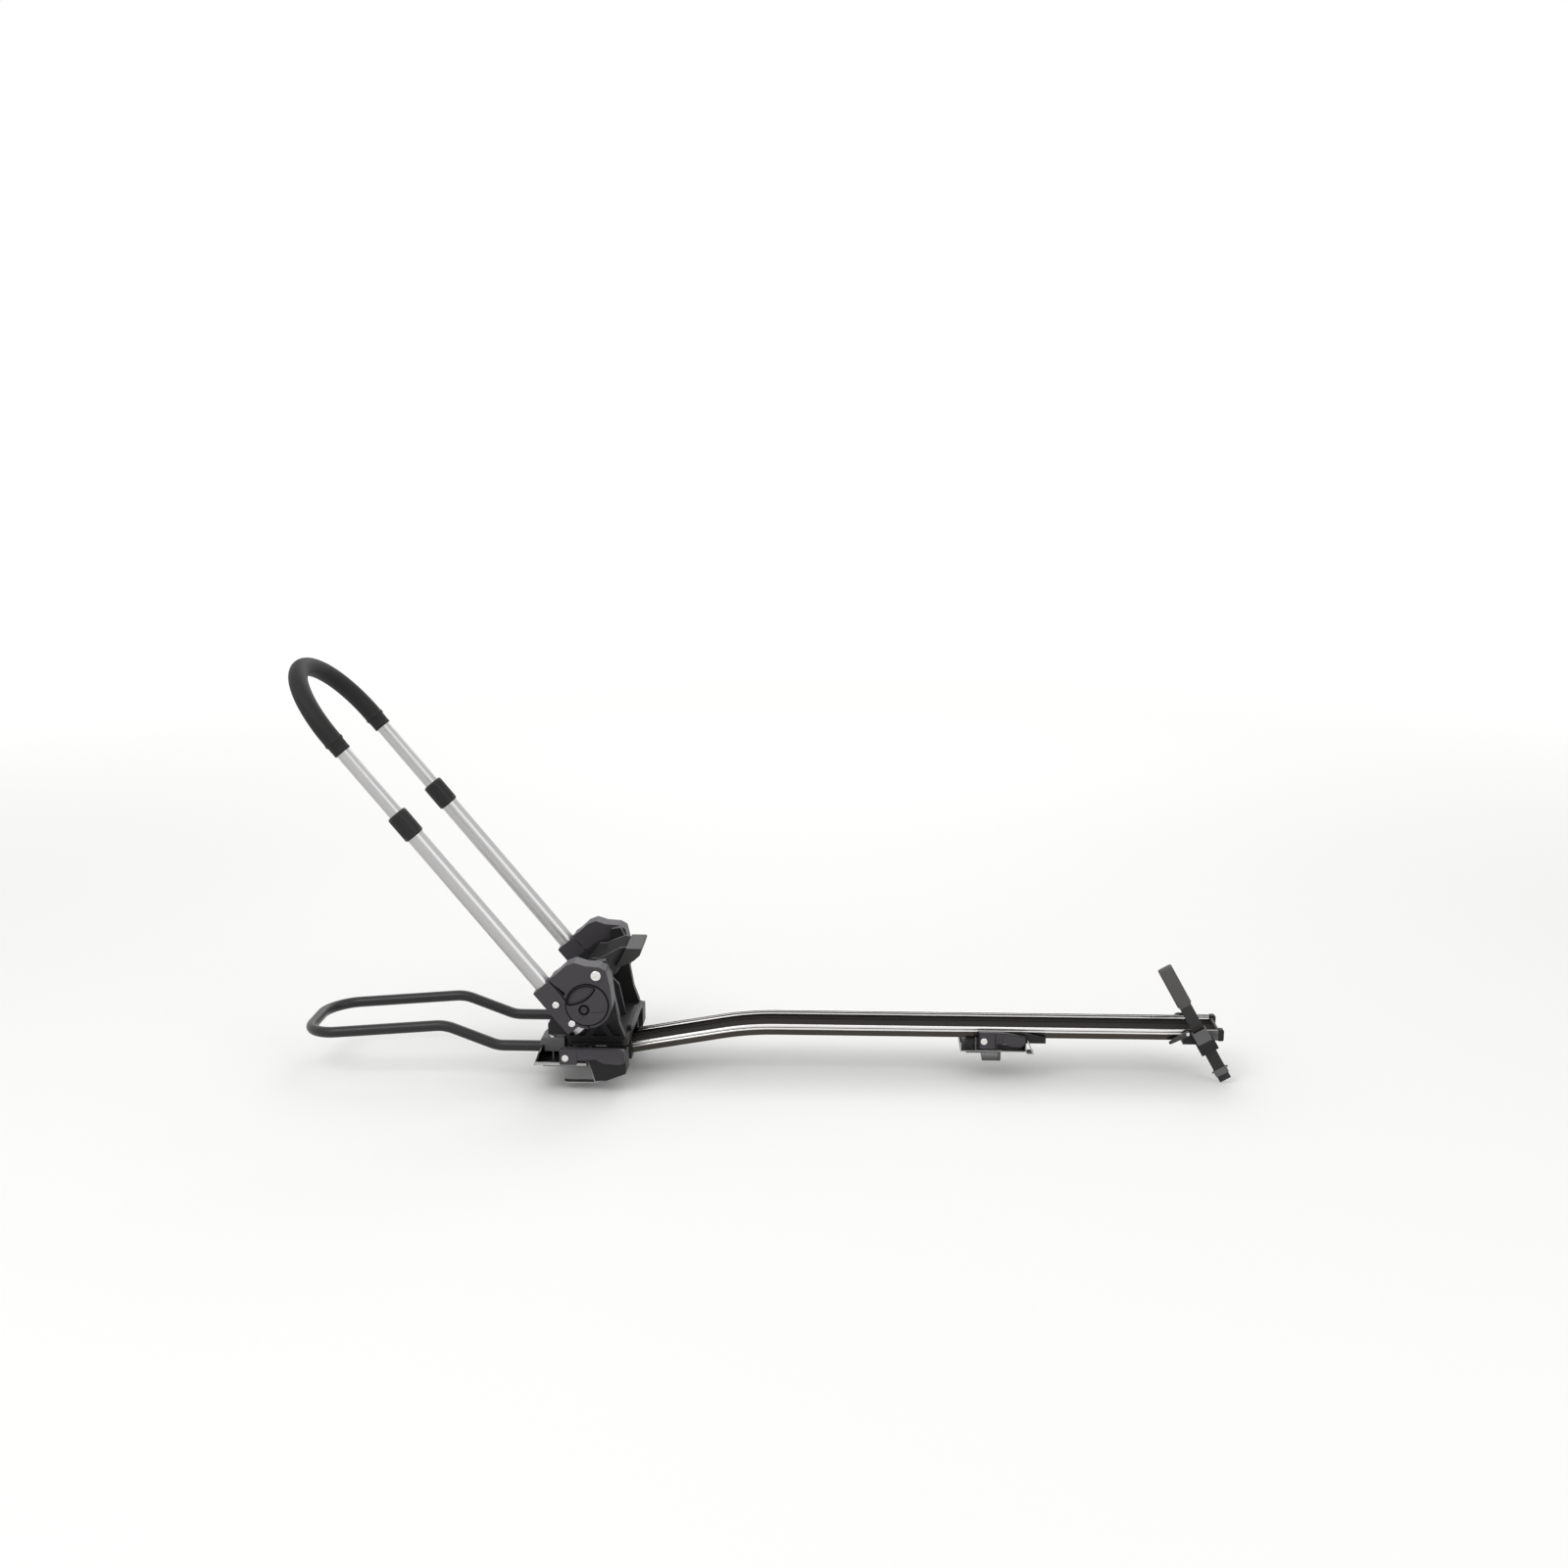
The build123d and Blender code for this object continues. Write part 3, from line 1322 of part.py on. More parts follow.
def make_rivet(x, z, face):
    head = rod(x, z, buckle_rivet_radius, -face - buckle_rivet_height, -face)
    head = fillet(head.edges().group_by(Axis.Y)[0], buckle_rivet_height / 2)
    return head + rod(x, z, buckle_rivet_shank, -face, -strap_cheek_inner)


nodes = {}


def build_nodes():
    near_head, near_cover = make_head(), make_head_cover()
    near_tube, near_collar = make_lower_tube(), make_collar()
    near_casting, near_saddle = make_casting(), make_saddle()
    claw, jaw = make_claw(), make_jaw()
    caps, end_plate = tray_end_pieces()
    nodes.update({
        "tray": make_tray() - tray_bolt_holes(),
        "tray_end_caps": caps,
        "tray_end_plate": end_plate,
        "tray_socket": make_tray_socket(),
        "tray_bolts": make_tray_bolts(),
        "front_channel": make_front_channel(),
        "front_bar_pad": make_front_pad(),
        "deck": make_deck(),
        "deck_bolts": make_deck_bolts(),
        "near_side_casting": near_casting,
        "far_side_casting": far_side(near_casting),
        "pivot_hubs": both_sides(make_pivot_hub()),
        "friction_discs": both_sides(make_friction_disc()),
        "pivot_nuts": both_sides(make_nut()),
        "far_pivot_bolt": make_far_bolt(),
        "wheel_stop": make_wheel_stop(),
        "stop_pad": make_stop_pad(),
        "cradle_tube": make_cradle_tube(),
        "near_cradle_saddle": near_saddle,
        "far_cradle_saddle": far_side(near_saddle),
        "cradle_saddle_screws": make_saddle_screws(),
        "near_arm_head": near_head,
        "far_arm_head": far_side(near_head),
        "near_head_cover": near_cover,
        "far_head_cover": far_side(near_cover),
        "pivot_bushes": both_sides(make_bush()),
        "near_lower_tube": near_tube,
        "far_lower_tube": far_side(near_tube),
        "arm_socket_bolts": make_socket_bolts(),
        "head_cover_bolts": make_cover_bolts(),
        "thrust_washers": both_sides(make_washer()),
        "wedge_rings": both_sides(make_wedge_ring()),
        "far_pivot_cap": make_far_cap(),
        "near_lock_collar": near_collar,
        "far_lock_collar": far_side(near_collar),
        "hoop_tube": make_hoop_tube(),
        "hoop_cover": make_hoop_cover(),
        "hoop_guide_plugs": make_plugs(),
        "clamp_knob": make_knob(),
        "knob_spindle": make_spindle(),
        "lock_barrel": make_lock_barrel(),
        "front_clamp_lever": make_front_lever(),
        "front_cam_shaft": make_cam_shaft(),
        "front_lever_bolt": make_front_lever_bolt(),
        "near_front_claw": claw,
        "far_front_claw": far_side(claw),
        "near_front_jaw": jaw,
        "far_front_jaw": far_side(jaw),
        "rear_channel": make_rear_channel(),
        "rear_saddle": make_rear_saddle(),
        "rear_bar_pad": make_rear_pad(),
        "rear_clamp_lever": make_rear_lever(),
        "rear_lever_bolt": make_rear_lever_bolt(),
        "rear_claw": make_rear_claw(),
        "rear_lever_catch": make_rear_catch(),
        "strap_base": make_strap_base(),
        "wheel_strap": make_strap(),
        "buckle_body": make_buckle_body(),
        "buckle_lever": make_buckle_lever(),
        "strap_rivets": make_strap_rivets(),
    })


os.makedirs("parts", exist_ok=True)
build_nodes()
for name, shape in nodes.items():
    export_step(shape, f"parts/{name}.step")
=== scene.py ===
import json
import math

import bmesh
import bpy
from mathutils import Matrix, Vector


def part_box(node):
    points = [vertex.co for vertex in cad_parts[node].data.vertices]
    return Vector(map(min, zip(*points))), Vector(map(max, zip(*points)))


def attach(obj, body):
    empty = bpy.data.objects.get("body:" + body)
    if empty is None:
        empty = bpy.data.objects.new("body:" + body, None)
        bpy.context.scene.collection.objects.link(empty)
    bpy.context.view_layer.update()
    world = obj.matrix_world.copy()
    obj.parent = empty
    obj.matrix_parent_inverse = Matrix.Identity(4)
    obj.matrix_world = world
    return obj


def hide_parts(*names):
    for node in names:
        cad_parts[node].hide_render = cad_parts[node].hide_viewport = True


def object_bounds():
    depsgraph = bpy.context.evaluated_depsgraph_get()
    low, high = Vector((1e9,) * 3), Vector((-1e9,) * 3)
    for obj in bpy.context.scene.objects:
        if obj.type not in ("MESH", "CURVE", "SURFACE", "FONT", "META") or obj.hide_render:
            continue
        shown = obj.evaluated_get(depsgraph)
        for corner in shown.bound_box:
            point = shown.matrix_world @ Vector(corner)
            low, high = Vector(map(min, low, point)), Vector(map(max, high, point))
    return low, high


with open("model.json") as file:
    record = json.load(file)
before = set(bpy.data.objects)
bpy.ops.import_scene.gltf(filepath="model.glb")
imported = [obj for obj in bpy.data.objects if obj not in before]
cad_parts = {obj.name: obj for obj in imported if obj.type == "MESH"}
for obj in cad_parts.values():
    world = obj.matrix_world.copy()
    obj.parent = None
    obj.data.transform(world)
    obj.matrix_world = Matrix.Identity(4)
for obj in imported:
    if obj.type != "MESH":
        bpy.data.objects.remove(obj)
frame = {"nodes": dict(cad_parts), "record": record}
cadNodes = frame["nodes"]
cadLow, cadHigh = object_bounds()
print("frame loaded:", len(cadNodes), "nodes")

scene = bpy.context.scene
scene.view_settings.view_transform = "Standard"

# The frame's axes, and the directions of the slanted pieces as the CAD has them
alongX = Vector((1.0, 0.0, 0.0))
alongY = Vector((0.0, 1.0, 0.0))
alongZ = Vector((0.0, 0.0, 1.0))
armLean = math.radians(50.8)
armFoot = Vector((0.0052275, 0.0, 0.0860866))  # foot of the arm's axis, below the pivot
alongArm = Vector((-math.cos(armLean), 0.0, math.sin(armLean)))
outOfHoop = Vector((math.sin(armLean), 0.0, math.cos(armLean)))  # square to the hoop's plane
armSide = 0.133  # from the middle plane to each arm's axis

# Camera at the photograph's viewing angle

cameraSetup = {
    "place": (0.4926, -3.1645, 1.0950),
    "yaw": 0.0402736,
    "pitch": 0.1958752,
    "lens": 42.84,
    "sensor": 36.0,
    "farEnd": 60.0,
}
bpy.ops.object.select_all(action="DESELECT")
bpy.ops.object.camera_add(
    location=cameraSetup["place"],
    rotation=(math.pi / 2 - cameraSetup["pitch"], 0.0, cameraSetup["yaw"]),
)
photoCamera = bpy.context.object
photoCamera.name = "photoCamera"
photoCamera.data.lens = cameraSetup["lens"]
photoCamera.data.sensor_width = cameraSetup["sensor"]
photoCamera.data.clip_end = cameraSetup["farEnd"]
scene.camera = photoCamera


# Floor, backdrop light and lamps

studio = {
    "floorX": 0.35,
    "floorDrop": 0.002,
    "floorSize": 32.0,
    "floorColour": (0.88, 0.88, 0.87, 1.0),
    "floorRoughness": 0.9,
    "worldColour": (1.0, 1.0, 1.0, 1.0),
    "worldFill": 0.8,
    # metres from the floor's middle, and the light added there
    "fadeFrom": 1.8,
    "fadeTo": 6.0,
    "fadeGlow": 0.3,
    # place, aim, size, watts
    "lamps": {
        "keyLamp": ((-1.6, -2.4, 3.2), (0.2, 0.0, 0.2), 2.4, 40.0),
        "fillLamp": ((3.0, -2.6, 2.2), (0.4, 0.0, 0.1), 2.6, 22.0),
        "backLamp": ((0.4, 3.0, 2.6), (0.2, 0.0, 0.2), 2.4, 26.0),
    },
}


def makeFloor():
    bpy.ops.object.select_all(action="DESELECT")
    bpy.ops.mesh.primitive_plane_add(
        size=studio["floorSize"],
        location=(studio["floorX"], 0.0, cadLow.z - studio["floorDrop"]),
    )
    floor = bpy.context.object
    floor.name = "floor"
    paper = bpy.data.materials.new("floorPaper")
    paper.use_nodes = True
    shader = paper.node_tree.nodes["Principled BSDF"]
    shader.inputs["Base Color"].default_value = studio["floorColour"]
    shader.inputs["Roughness"].default_value = studio["floorRoughness"]
    # the far floor fades into the white backdrop
    nodes, links = paper.node_tree.nodes, paper.node_tree.links
    coordinates = nodes.new("ShaderNodeTexCoord")
    away = nodes.new("ShaderNodeVectorMath")
    away.operation = "LENGTH"
    fade = nodes.new("ShaderNodeMapRange")
    fade.interpolation_type = "SMOOTHSTEP"
    fade.inputs["From Min"].default_value = studio["fadeFrom"]
    fade.inputs["From Max"].default_value = studio["fadeTo"]
    links.new(coordinates.outputs["Object"], away.inputs[0])
    links.new(away.outputs["Value"], fade.inputs["Value"])
    links.new(fade.outputs["Result"], shader.inputs["Emission Color"])
    shader.inputs["Emission Strength"].default_value = studio["fadeGlow"]
    floor.data.materials.append(paper)


def makeWorld():
    # the camera, metal and glass see white, and everything else gets a plain fill
    world = bpy.data.worlds.new("studioWorld")
    scene.world = world
    world.use_nodes = True
    nodes, links = world.node_tree.nodes, world.node_tree.links
    nodes.clear()
    rays = nodes.new("ShaderNodeLightPath")
    seen = nodes.new("ShaderNodeMath")
    seen.operation = "MAXIMUM"
    links.new(rays.outputs["Is Camera Ray"], seen.inputs[0])
    links.new(rays.outputs["Is Glossy Ray"], seen.inputs[1])
    through = nodes.new("ShaderNodeMath")
    through.operation = "MAXIMUM"
    links.new(seen.outputs[0], through.inputs[0])
    links.new(rays.outputs["Is Transmission Ray"], through.inputs[1])
    strength = nodes.new("ShaderNodeMapRange")
    strength.inputs["To Min"].default_value = studio["worldFill"]
    strength.inputs["To Max"].default_value = 1.0
    links.new(through.outputs[0], strength.inputs["Value"])
    light = nodes.new("ShaderNodeBackground")
    light.inputs["Color"].default_value = studio["worldColour"]
    links.new(strength.outputs["Result"], light.inputs["Strength"])
    out = nodes.new("ShaderNodeOutputWorld")
    links.new(light.outputs[0], out.inputs[0])


def addLamp(name, place, aim, size, watts):
    bpy.ops.object.select_all(action="DESELECT")
    place = Vector(place)
    turn = (Vector(aim) - place).to_track_quat("-Z", "Y").to_euler()
    bpy.ops.object.light_add(type="AREA", location=place, rotation=turn)
    lamp = bpy.context.object
    lamp.name = name
    lamp.data.shape = "DISK"
    lamp.data.size = size
    lamp.data.energy = watts


makeFloor()
makeWorld()
for lampName, lampSettings in studio["lamps"].items():
    addLamp(lampName, *lampSettings)
print("camera, floor and lamps set")


# Node groups that the materials share


def newGroup(name, inputs):
    # takes a vector and the named inputs, and gives a colour, a roughness and a height
    group = bpy.data.node_groups.new(name, "ShaderNodeTree")
    group.interface.new_socket(name="Vector", in_out="INPUT", socket_type="NodeSocketVector")
    for label, value in inputs.items():
        kind = "NodeSocketColor" if isinstance(value, tuple) else "NodeSocketFloat"
        socket = group.interface.new_socket(name=label, in_out="INPUT", socket_type=kind)
        socket.default_value = value
    for label, kind in (("Colour", "Color"), ("Roughness", "Float"), ("Height", "Float")):
        group.interface.new_socket(name=label, in_out="OUTPUT", socket_type="NodeSocket" + kind)
    return group, group.nodes.new("NodeGroupInput"), group.nodes.new("NodeGroupOutput")


def mathNode(group, operation, first, second):
    node = group.nodes.new("ShaderNodeMath")
    node.operation = operation
    for slot, value in enumerate((first, second)):
        if isinstance(value, (int, float)):
            node.inputs[slot].default_value = value
        else:
            group.links.new(value, node.inputs[slot])
    return node.outputs[0]


def noiseNode(group, vector, scale, detail, roughness):
    node = group.nodes.new("ShaderNodeTexNoise")
    node.inputs["Detail"].default_value = detail
    node.inputs["Roughness"].default_value = roughness
    group.links.new(vector, node.inputs["Vector"])
    if isinstance(scale, (int, float)):
        node.inputs["Scale"].default_value = scale
    else:
        group.links.new(scale, node.inputs["Scale"])
    return node.outputs["Fac"]


def facingUp(group):
    # 1 where the surface faces up, down to 0 on its sides
    normal = group.nodes.new("ShaderNodeNewGeometry")
    shares = group.nodes.new("ShaderNodeSeparateXYZ")
    group.links.new(normal.outputs["Normal"], shares.inputs[0])
    return mathNode(group, "MAXIMUM", shares.outputs["Z"], 0.0)


def shadeBy(group, colour, gain):
    shade = group.nodes.new("ShaderNodeVectorMath")
    shade.operation = "SCALE"
    group.links.new(colour, shade.inputs[0])
    group.links.new(gain, shade.inputs["Scale"])
    return shade.outputs[0]


def makeMouldedGrain():
    # moulded surface: fine spark-eroded grain, slow patches of sheen, a little dust on top
    group, given, out = newGroup("mouldedGrain", {
        "Colour": (0.1, 0.1, 0.1, 1.0),
        "Grain Scale": 1400.0,
        "Roughness": 0.55,
        "Roughness Spread": 0.12,
        "Tone Spread": 0.15,
        "Dust": 0.1,
    })
    take, join = given.outputs, group.links.new
    grain = noiseNode(group, take["Vector"], take["Grain Scale"], detail=2.0, roughness=0.5)
    patches = noiseNode(group, take["Vector"], 28.0, detail=5.0, roughness=0.65)
    grainOff = mathNode(group, "SUBTRACT", grain, 0.5)
    patchOff = mathNode(group, "SUBTRACT", patches, 0.5)
    rough = mathNode(group, "MULTIPLY", patchOff, take["Roughness Spread"])
    join(mathNode(group, "ADD", take["Roughness"], rough), out.inputs["Roughness"])
    tone = mathNode(group, "MULTIPLY", patchOff, take["Tone Spread"])
    fineTone = mathNode(group, "MULTIPLY", grainOff, take["Tone Spread"])
    gain = mathNode(group, "ADD", 1.0, mathNode(group, "ADD", tone, fineTone))
    shade = shadeBy(group, take["Colour"], gain)
    # dust settles on what faces up, in soft patches
    settled = mathNode(group, "MULTIPLY", facingUp(group), patches)
    dusty = group.nodes.new("ShaderNodeMix")
    dusty.data_type = "RGBA"
    join(mathNode(group, "MULTIPLY", settled, take["Dust"]), dusty.inputs["Factor"])
    join(shade, dusty.inputs["A"])
    dusty.inputs["B"].default_value = (0.42, 0.40, 0.37, 1.0)
    join(dusty.outputs["Result"], out.inputs["Colour"])
    join(grain, out.inputs["Height"])
    return group


def makeDrawnMetal():
    # extruded or drawn metal: hairlines along one axis, faint cloudiness, scuffs, and painted shade
    # on what faces up
    group, given, out = newGroup("drawnMetal", {
        "Colour": (0.7, 0.7, 0.7, 1.0),
        "Line Scale": 900.0,
        "Roughness": 0.3,
        "Roughness Spread": 0.15,
        "Tone Spread": 0.1,
        "Scuffs": 0.1,
        "Worn Shaded Top": 0.0,
    })
    take, join = given.outputs, group.links.new
    stretch = group.nodes.new("ShaderNodeVectorMath")
    stretch.operation = "MULTIPLY"
    join(take["Vector"], stretch.inputs[0])
    stretch.inputs[1].default_value = (0.02, 1.0, 1.0)
    lines = noiseNode(group, stretch.outputs[0], take["Line Scale"], detail=3.0, roughness=0.7)
    cloud = noiseNode(group, take["Vector"], 14.0, detail=4.0, roughness=0.6)
    scuff = noiseNode(group, take["Vector"], 90.0, detail=8.0, roughness=0.8)
    scuffMask = group.nodes.new("ShaderNodeMapRange")
    scuffMask.inputs["From Min"].default_value = 0.6
    scuffMask.inputs["From Max"].default_value = 0.75
    join(scuff, scuffMask.inputs["Value"])
    scuffed = mathNode(group, "MULTIPLY", scuffMask.outputs["Result"], take["Scuffs"])
    lineOff = mathNode(group, "SUBTRACT", lines, 0.5)
    cloudOff = mathNode(group, "SUBTRACT", cloud, 0.5)
    uneven = mathNode(group, "ADD", lineOff, cloudOff)
    spread = mathNode(group, "MULTIPLY", uneven, take["Roughness Spread"])
    rough = mathNode(group, "ADD", mathNode(group, "ADD", take["Roughness"], spread), scuffed)
    # what faces up is worn rougher, and its colour is darkened as painted shade
    wornShadedTop = mathNode(group, "MULTIPLY", facingUp(group), take["Worn Shaded Top"])
    join(mathNode(group, "ADD", rough, wornShadedTop), out.inputs["Roughness"])
    tone = mathNode(group, "MULTIPLY", uneven, take["Tone Spread"])
    # painted shade: the colour gets darker the more the surface faces up
    gain = mathNode(group, "SUBTRACT", mathNode(group, "ADD", 1.0, tone), wornShadedTop)
    join(shadeBy(group, take["Colour"], gain), out.inputs["Colour"])
    join(lines, out.inputs["Height"])
    return group


mouldedGrain = makeMouldedGrain()
drawnMetal = makeDrawnMetal()
bumpDepth = 0.0002


def finishMaterial(name, group, values, metallic, bump, turn=(0.0, 0.0, 0.0), specular=0.5):
    # a Principled material fed by one of the groups, on Object coordinates
    material = bpy.data.materials.new(name)
    material.use_nodes = True
    nodes, links = material.node_tree.nodes, material.node_tree.links
    shader = nodes["Principled BSDF"]
    shader.inputs["Metallic"].default_value = metallic
    shader.inputs["Specular IOR Level"].default_value = specular
    coordinates = nodes.new("ShaderNodeTexCoord")
    mapping = nodes.new("ShaderNodeMapping")
    mapping.inputs["Rotation"].default_value = turn
    links.new(coordinates.outputs["Object"], mapping.inputs["Vector"])
    looks = nodes.new("ShaderNodeGroup")
    looks.node_tree = group
    links.new(mapping.outputs["Vector"], looks.inputs["Vector"])
    for label, value in values.items():
        looks.inputs[label].default_value = value
    links.new(looks.outputs["Colour"], shader.inputs["Base Color"])
    links.new(looks.outputs["Roughness"], shader.inputs["Roughness"])
    relief = nodes.new("ShaderNodeBump")
    relief.inputs["Strength"].default_value = bump
    relief.inputs["Distance"].default_value = bumpDepth
    links.new(looks.outputs["Height"], relief.inputs["Height"])
    links.new(relief.outputs["Normal"], shader.inputs["Normal"])
    return material


def moulded(name, colour, rough, bump=0.3, grain=1400.0, tone=0.15, specular=0.3):
    values = {
        "Colour": (*colour, 1.0),
        "Grain Scale": grain,
        "Roughness": rough,
        "Roughness Spread": 0.12,
        "Tone Spread": tone,
        "Dust": 0.02,
    }
    return finishMaterial(name, mouldedGrain, values, metallic=0.0, bump=bump, specular=specular)


def metal(name, colour, rough, lines=900.0, tone=0.1, turn=(0.0, 0.0, 0.0), wornShadedTop=0.0):
    values = {
        "Colour": (*colour, 1.0),
        "Line Scale": lines,
        "Roughness": rough,
        "Roughness Spread": 0.12,
        "Tone Spread": tone,
        "Scuffs": 0.05,
        "Worn Shaded Top": wornShadedTop,
    }
    return finishMaterial(name, drawnMetal, values, metallic=1.0, bump=0.1, turn=turn)


armTurn = (0.0, -armLean, 0.0)  # hairlines run along the arms
finishes = {
    # the tray's floor and wall tops get painted shade, and are worn rougher
    "anodised_tray": metal(
        "bronzeAnodisedTray", (0.062, 0.055, 0.049), 0.26, tone=0.35, lines=1200.0, wornShadedTop=0.55
    ),
    "black_end_caps": moulded("blackEndCap", (0.012, 0.012, 0.013), 0.5),
    "grey_plastic": moulded("greyMouldedBlock", (0.105, 0.104, 0.107), 0.5, tone=0.2),
    "black_plastic": moulded("glassFilledBlack", (0.009, 0.009, 0.01), 0.46, bump=0.4),
    "charcoal_plastic": moulded(
        "charcoalShell", (0.042, 0.038, 0.044), 0.44, bump=0.45, tone=0.2
    ),
    "collar_plastic": moulded("collarBlack", (0.01, 0.01, 0.011), 0.42),
    "black_steel": moulded(
        "powderCoatedSteel", (0.007, 0.007, 0.008), 0.34, bump=0.5, grain=700.0, specular=0.45
    ),
    "satin_aluminium": metal("satinAnodisedTube", (0.47, 0.465, 0.465), 0.33, turn=armTurn),
    "cover_rubber": moulded("hoopRubber", (0.008, 0.008, 0.009), 0.62, bump=0.5),
    "strap_rubber": moulded("strapRubber", (0.02, 0.02, 0.021), 0.55, bump=0.5),
    "pad_rubber": moulded("padRubber", (0.012, 0.012, 0.012), 0.8, bump=0.4),
    "bright_steel": metal("brightZincBolt", (0.74, 0.73, 0.71), 0.24, lines=500.0),
    "zinc_steel": metal("zincPlatedSheet", (0.42, 0.42, 0.42), 0.34, lines=500.0, tone=0.2),
    "friction_lining": moulded("pressedLining", (0.09, 0.07, 0.05), 0.85),
    "nylon": moulded("naturalNylon", (0.62, 0.61, 0.56), 0.5),
    "bright_bead": metal("brightCutBead", (0.8, 0.79, 0.78), 0.22, lines=1500.0),
    "rim_pad": moulded("rimPadRubber", (0.066, 0.064, 0.063), 0.6, bump=0.5),
    "stop_plastic": moulded("wheelStopBlack", (0.03, 0.029, 0.029), 0.48, bump=0.4),
    # painted shade: near-black dull lines that stand for the shade in grooves, gaps and seams
    "gap_shade_line": moulded("paintedGapShade", (0.003, 0.003, 0.003), 0.75, specular=0.1),
    "dark_claw": metal("blackZincClaw", (0.13, 0.13, 0.13), 0.38, lines=500.0, tone=0.2),
}
ownFinish = {"wheel_stop": "stop_plastic", "rear_claw": "dark_claw"}
slotOf = {row["node"]: row["material_slot"] for row in frame["record"]["subparts"]}


def dressNode(node):
    mesh = cadNodes[node].data
    material = finishes[ownFinish.get(node, slotOf[node])]
    if not mesh.materials:
        mesh.materials.append(material)
    for index in range(len(mesh.materials)):
        mesh.materials[index] = material


# moulded and cast pieces get rounded edges, in metres; the rest keeps the CAD's own edges
edgeRounding = {
    0.0018: ["near_cradle_saddle", "far_cradle_saddle"],
    0.0016: ["near_arm_head", "far_arm_head"],
    0.0012: ["near_side_casting", "far_side_casting", "deck", "near_front_jaw", "far_front_jaw"],
    0.0011: ["wheel_stop", "tray_end_caps"],
    0.001: ["tray_socket", "rear_saddle", "strap_base"],
    0.0009: ["front_clamp_lever", "rear_clamp_lever"],
    0.0008: ["buckle_lever"],
    0.0007: ["buckle_body"],
    0.0006: ["near_head_cover", "far_head_cover", "front_channel", "rear_channel"],
    0.0005: ["near_front_claw", "far_front_claw", "rear_claw", "tray_end_plate", "pivot_nuts"],
    0.0004: ["rear_lever_catch", "near_lock_collar", "far_lock_collar", "clamp_knob"],
    0.0003: ["lock_barrel"],
}
sharpFrom = math.radians(38.0)


def roundEdges(node, width):
    piece = cadNodes[node]
    weld = piece.modifiers.new("Weld", "WELD")
    weld.merge_threshold = 0.000002
    bevel = piece.modifiers.new("Bevel", "BEVEL")
    bevel.width = width
    bevel.segments = 2
    bevel.limit_method = "ANGLE"
    bevel.angle_limit = sharpFrom
    normals = piece.modifiers.new("Normals", "WEIGHTED_NORMAL")
    normals.weight = 60


for node in cadNodes:
    dressNode(node)
for width, nodes in edgeRounding.items():
    for node in nodes:
        roundEdges(node, width)
print("materials made:", len(finishes), "and edges rounded:", sum(map(len, edgeRounding.values())))


# Help with modelling by operator

facingAt = 0.9  # a face counts as facing an axis when its normal has more than this along it
mergeAt = 0.00001


def makeActive(piece):
    bpy.ops.object.select_all(action="DESELECT")
    bpy.context.view_layer.objects.active = piece
    piece.select_set(True)


def pick(piece, kind, test):
    # selects the faces, edges or verts whose middle passes the test, in edit mode
    work = bmesh.from_edit_mesh(piece.data)
    bpy.ops.mesh.select_all(action="DESELECT")
    bpy.ops.mesh.select_mode(type=kind)
    items = {"FACE": work.faces, "EDGE": work.edges, "VERT": work.verts}[kind]
    for item in items:
        if kind == "VERT":
            middle = item.co
        elif kind == "EDGE":
            middle = (item.verts[0].co + item.verts[1].co) / 2
        else:
            middle = item.calc_center_median()
        if test(middle, item):
            item.select_set(True)
    work.select_flush_mode()
    bmesh.update_edit_mesh(piece.data)


def startPiece(name):
    piece = bpy.context.object
    piece.name = name
    piece.data.name = name
    # the place goes into the mesh first, so the tests in pick read it as metres in the frame
    bpy.ops.object.transform_apply(location=True, rotation=True, scale=True)
    bpy.ops.object.mode_set(mode="EDIT")
    return piece


def startBox(name, middle, span):
    bpy.ops.object.select_all(action="DESELECT")
    bpy.ops.mesh.primitive_cube_add(size=1.0, location=middle)
    box = startPiece(name)
    bpy.ops.transform.resize(value=span)
    return box


def cutAcross(axis, places):
    # cuts the whole piece at each place with a plane square to the axis
    for place in places:
        bpy.ops.mesh.select_all(action="SELECT")
        bpy.ops.mesh.bisect(plane_co=axis * place, plane_no=axis)


def moveBy(value):
    bpy.ops.transform.translate(value=value)


def extrudeBy(value):
    bpy.ops.mesh.extrude_region_move(TRANSFORM_OT_translate={"value": value})


def addModifier(piece, kind, **settings):
    modifier = piece.modifiers.new(kind.title(), kind)
    for label, value in settings.items():
        setattr(modifier, label, value)
    makeActive(piece)
    bpy.ops.object.modifier_apply(modifier=modifier.name)


def softenEdges(piece, width, segments=2, sharp=0.6):
    addModifier(
        piece, "BEVEL", width=width, segments=segments, limit_method="ANGLE", angle_limit=sharp
    )


def settle(piece, place=None):
    # puts the piece's place in its mesh, with its object at the origin
    if bpy.context.mode != "OBJECT":
        bpy.ops.object.mode_set(mode="OBJECT")
    makeActive(piece)
    if place is not None:
        piece.matrix_world = place
    bpy.ops.object.transform_apply(location=True, rotation=True, scale=True)


def reopen(piece):
    makeActive(piece)
    bpy.ops.object.mode_set(mode="EDIT")
    bpy.ops.mesh.select_all(action="SELECT")


def capEnds(piece):
    reopen(piece)
    bpy.ops.mesh.remove_doubles(threshold=mergeAt)
    bpy.ops.mesh.select_all(action="DESELECT")
    bpy.ops.mesh.select_mode(type="EDGE")
    bpy.ops.mesh.select_non_manifold(extend=False)
    bpy.ops.mesh.edge_face_add()
    bpy.ops.object.mode_set(mode="OBJECT")


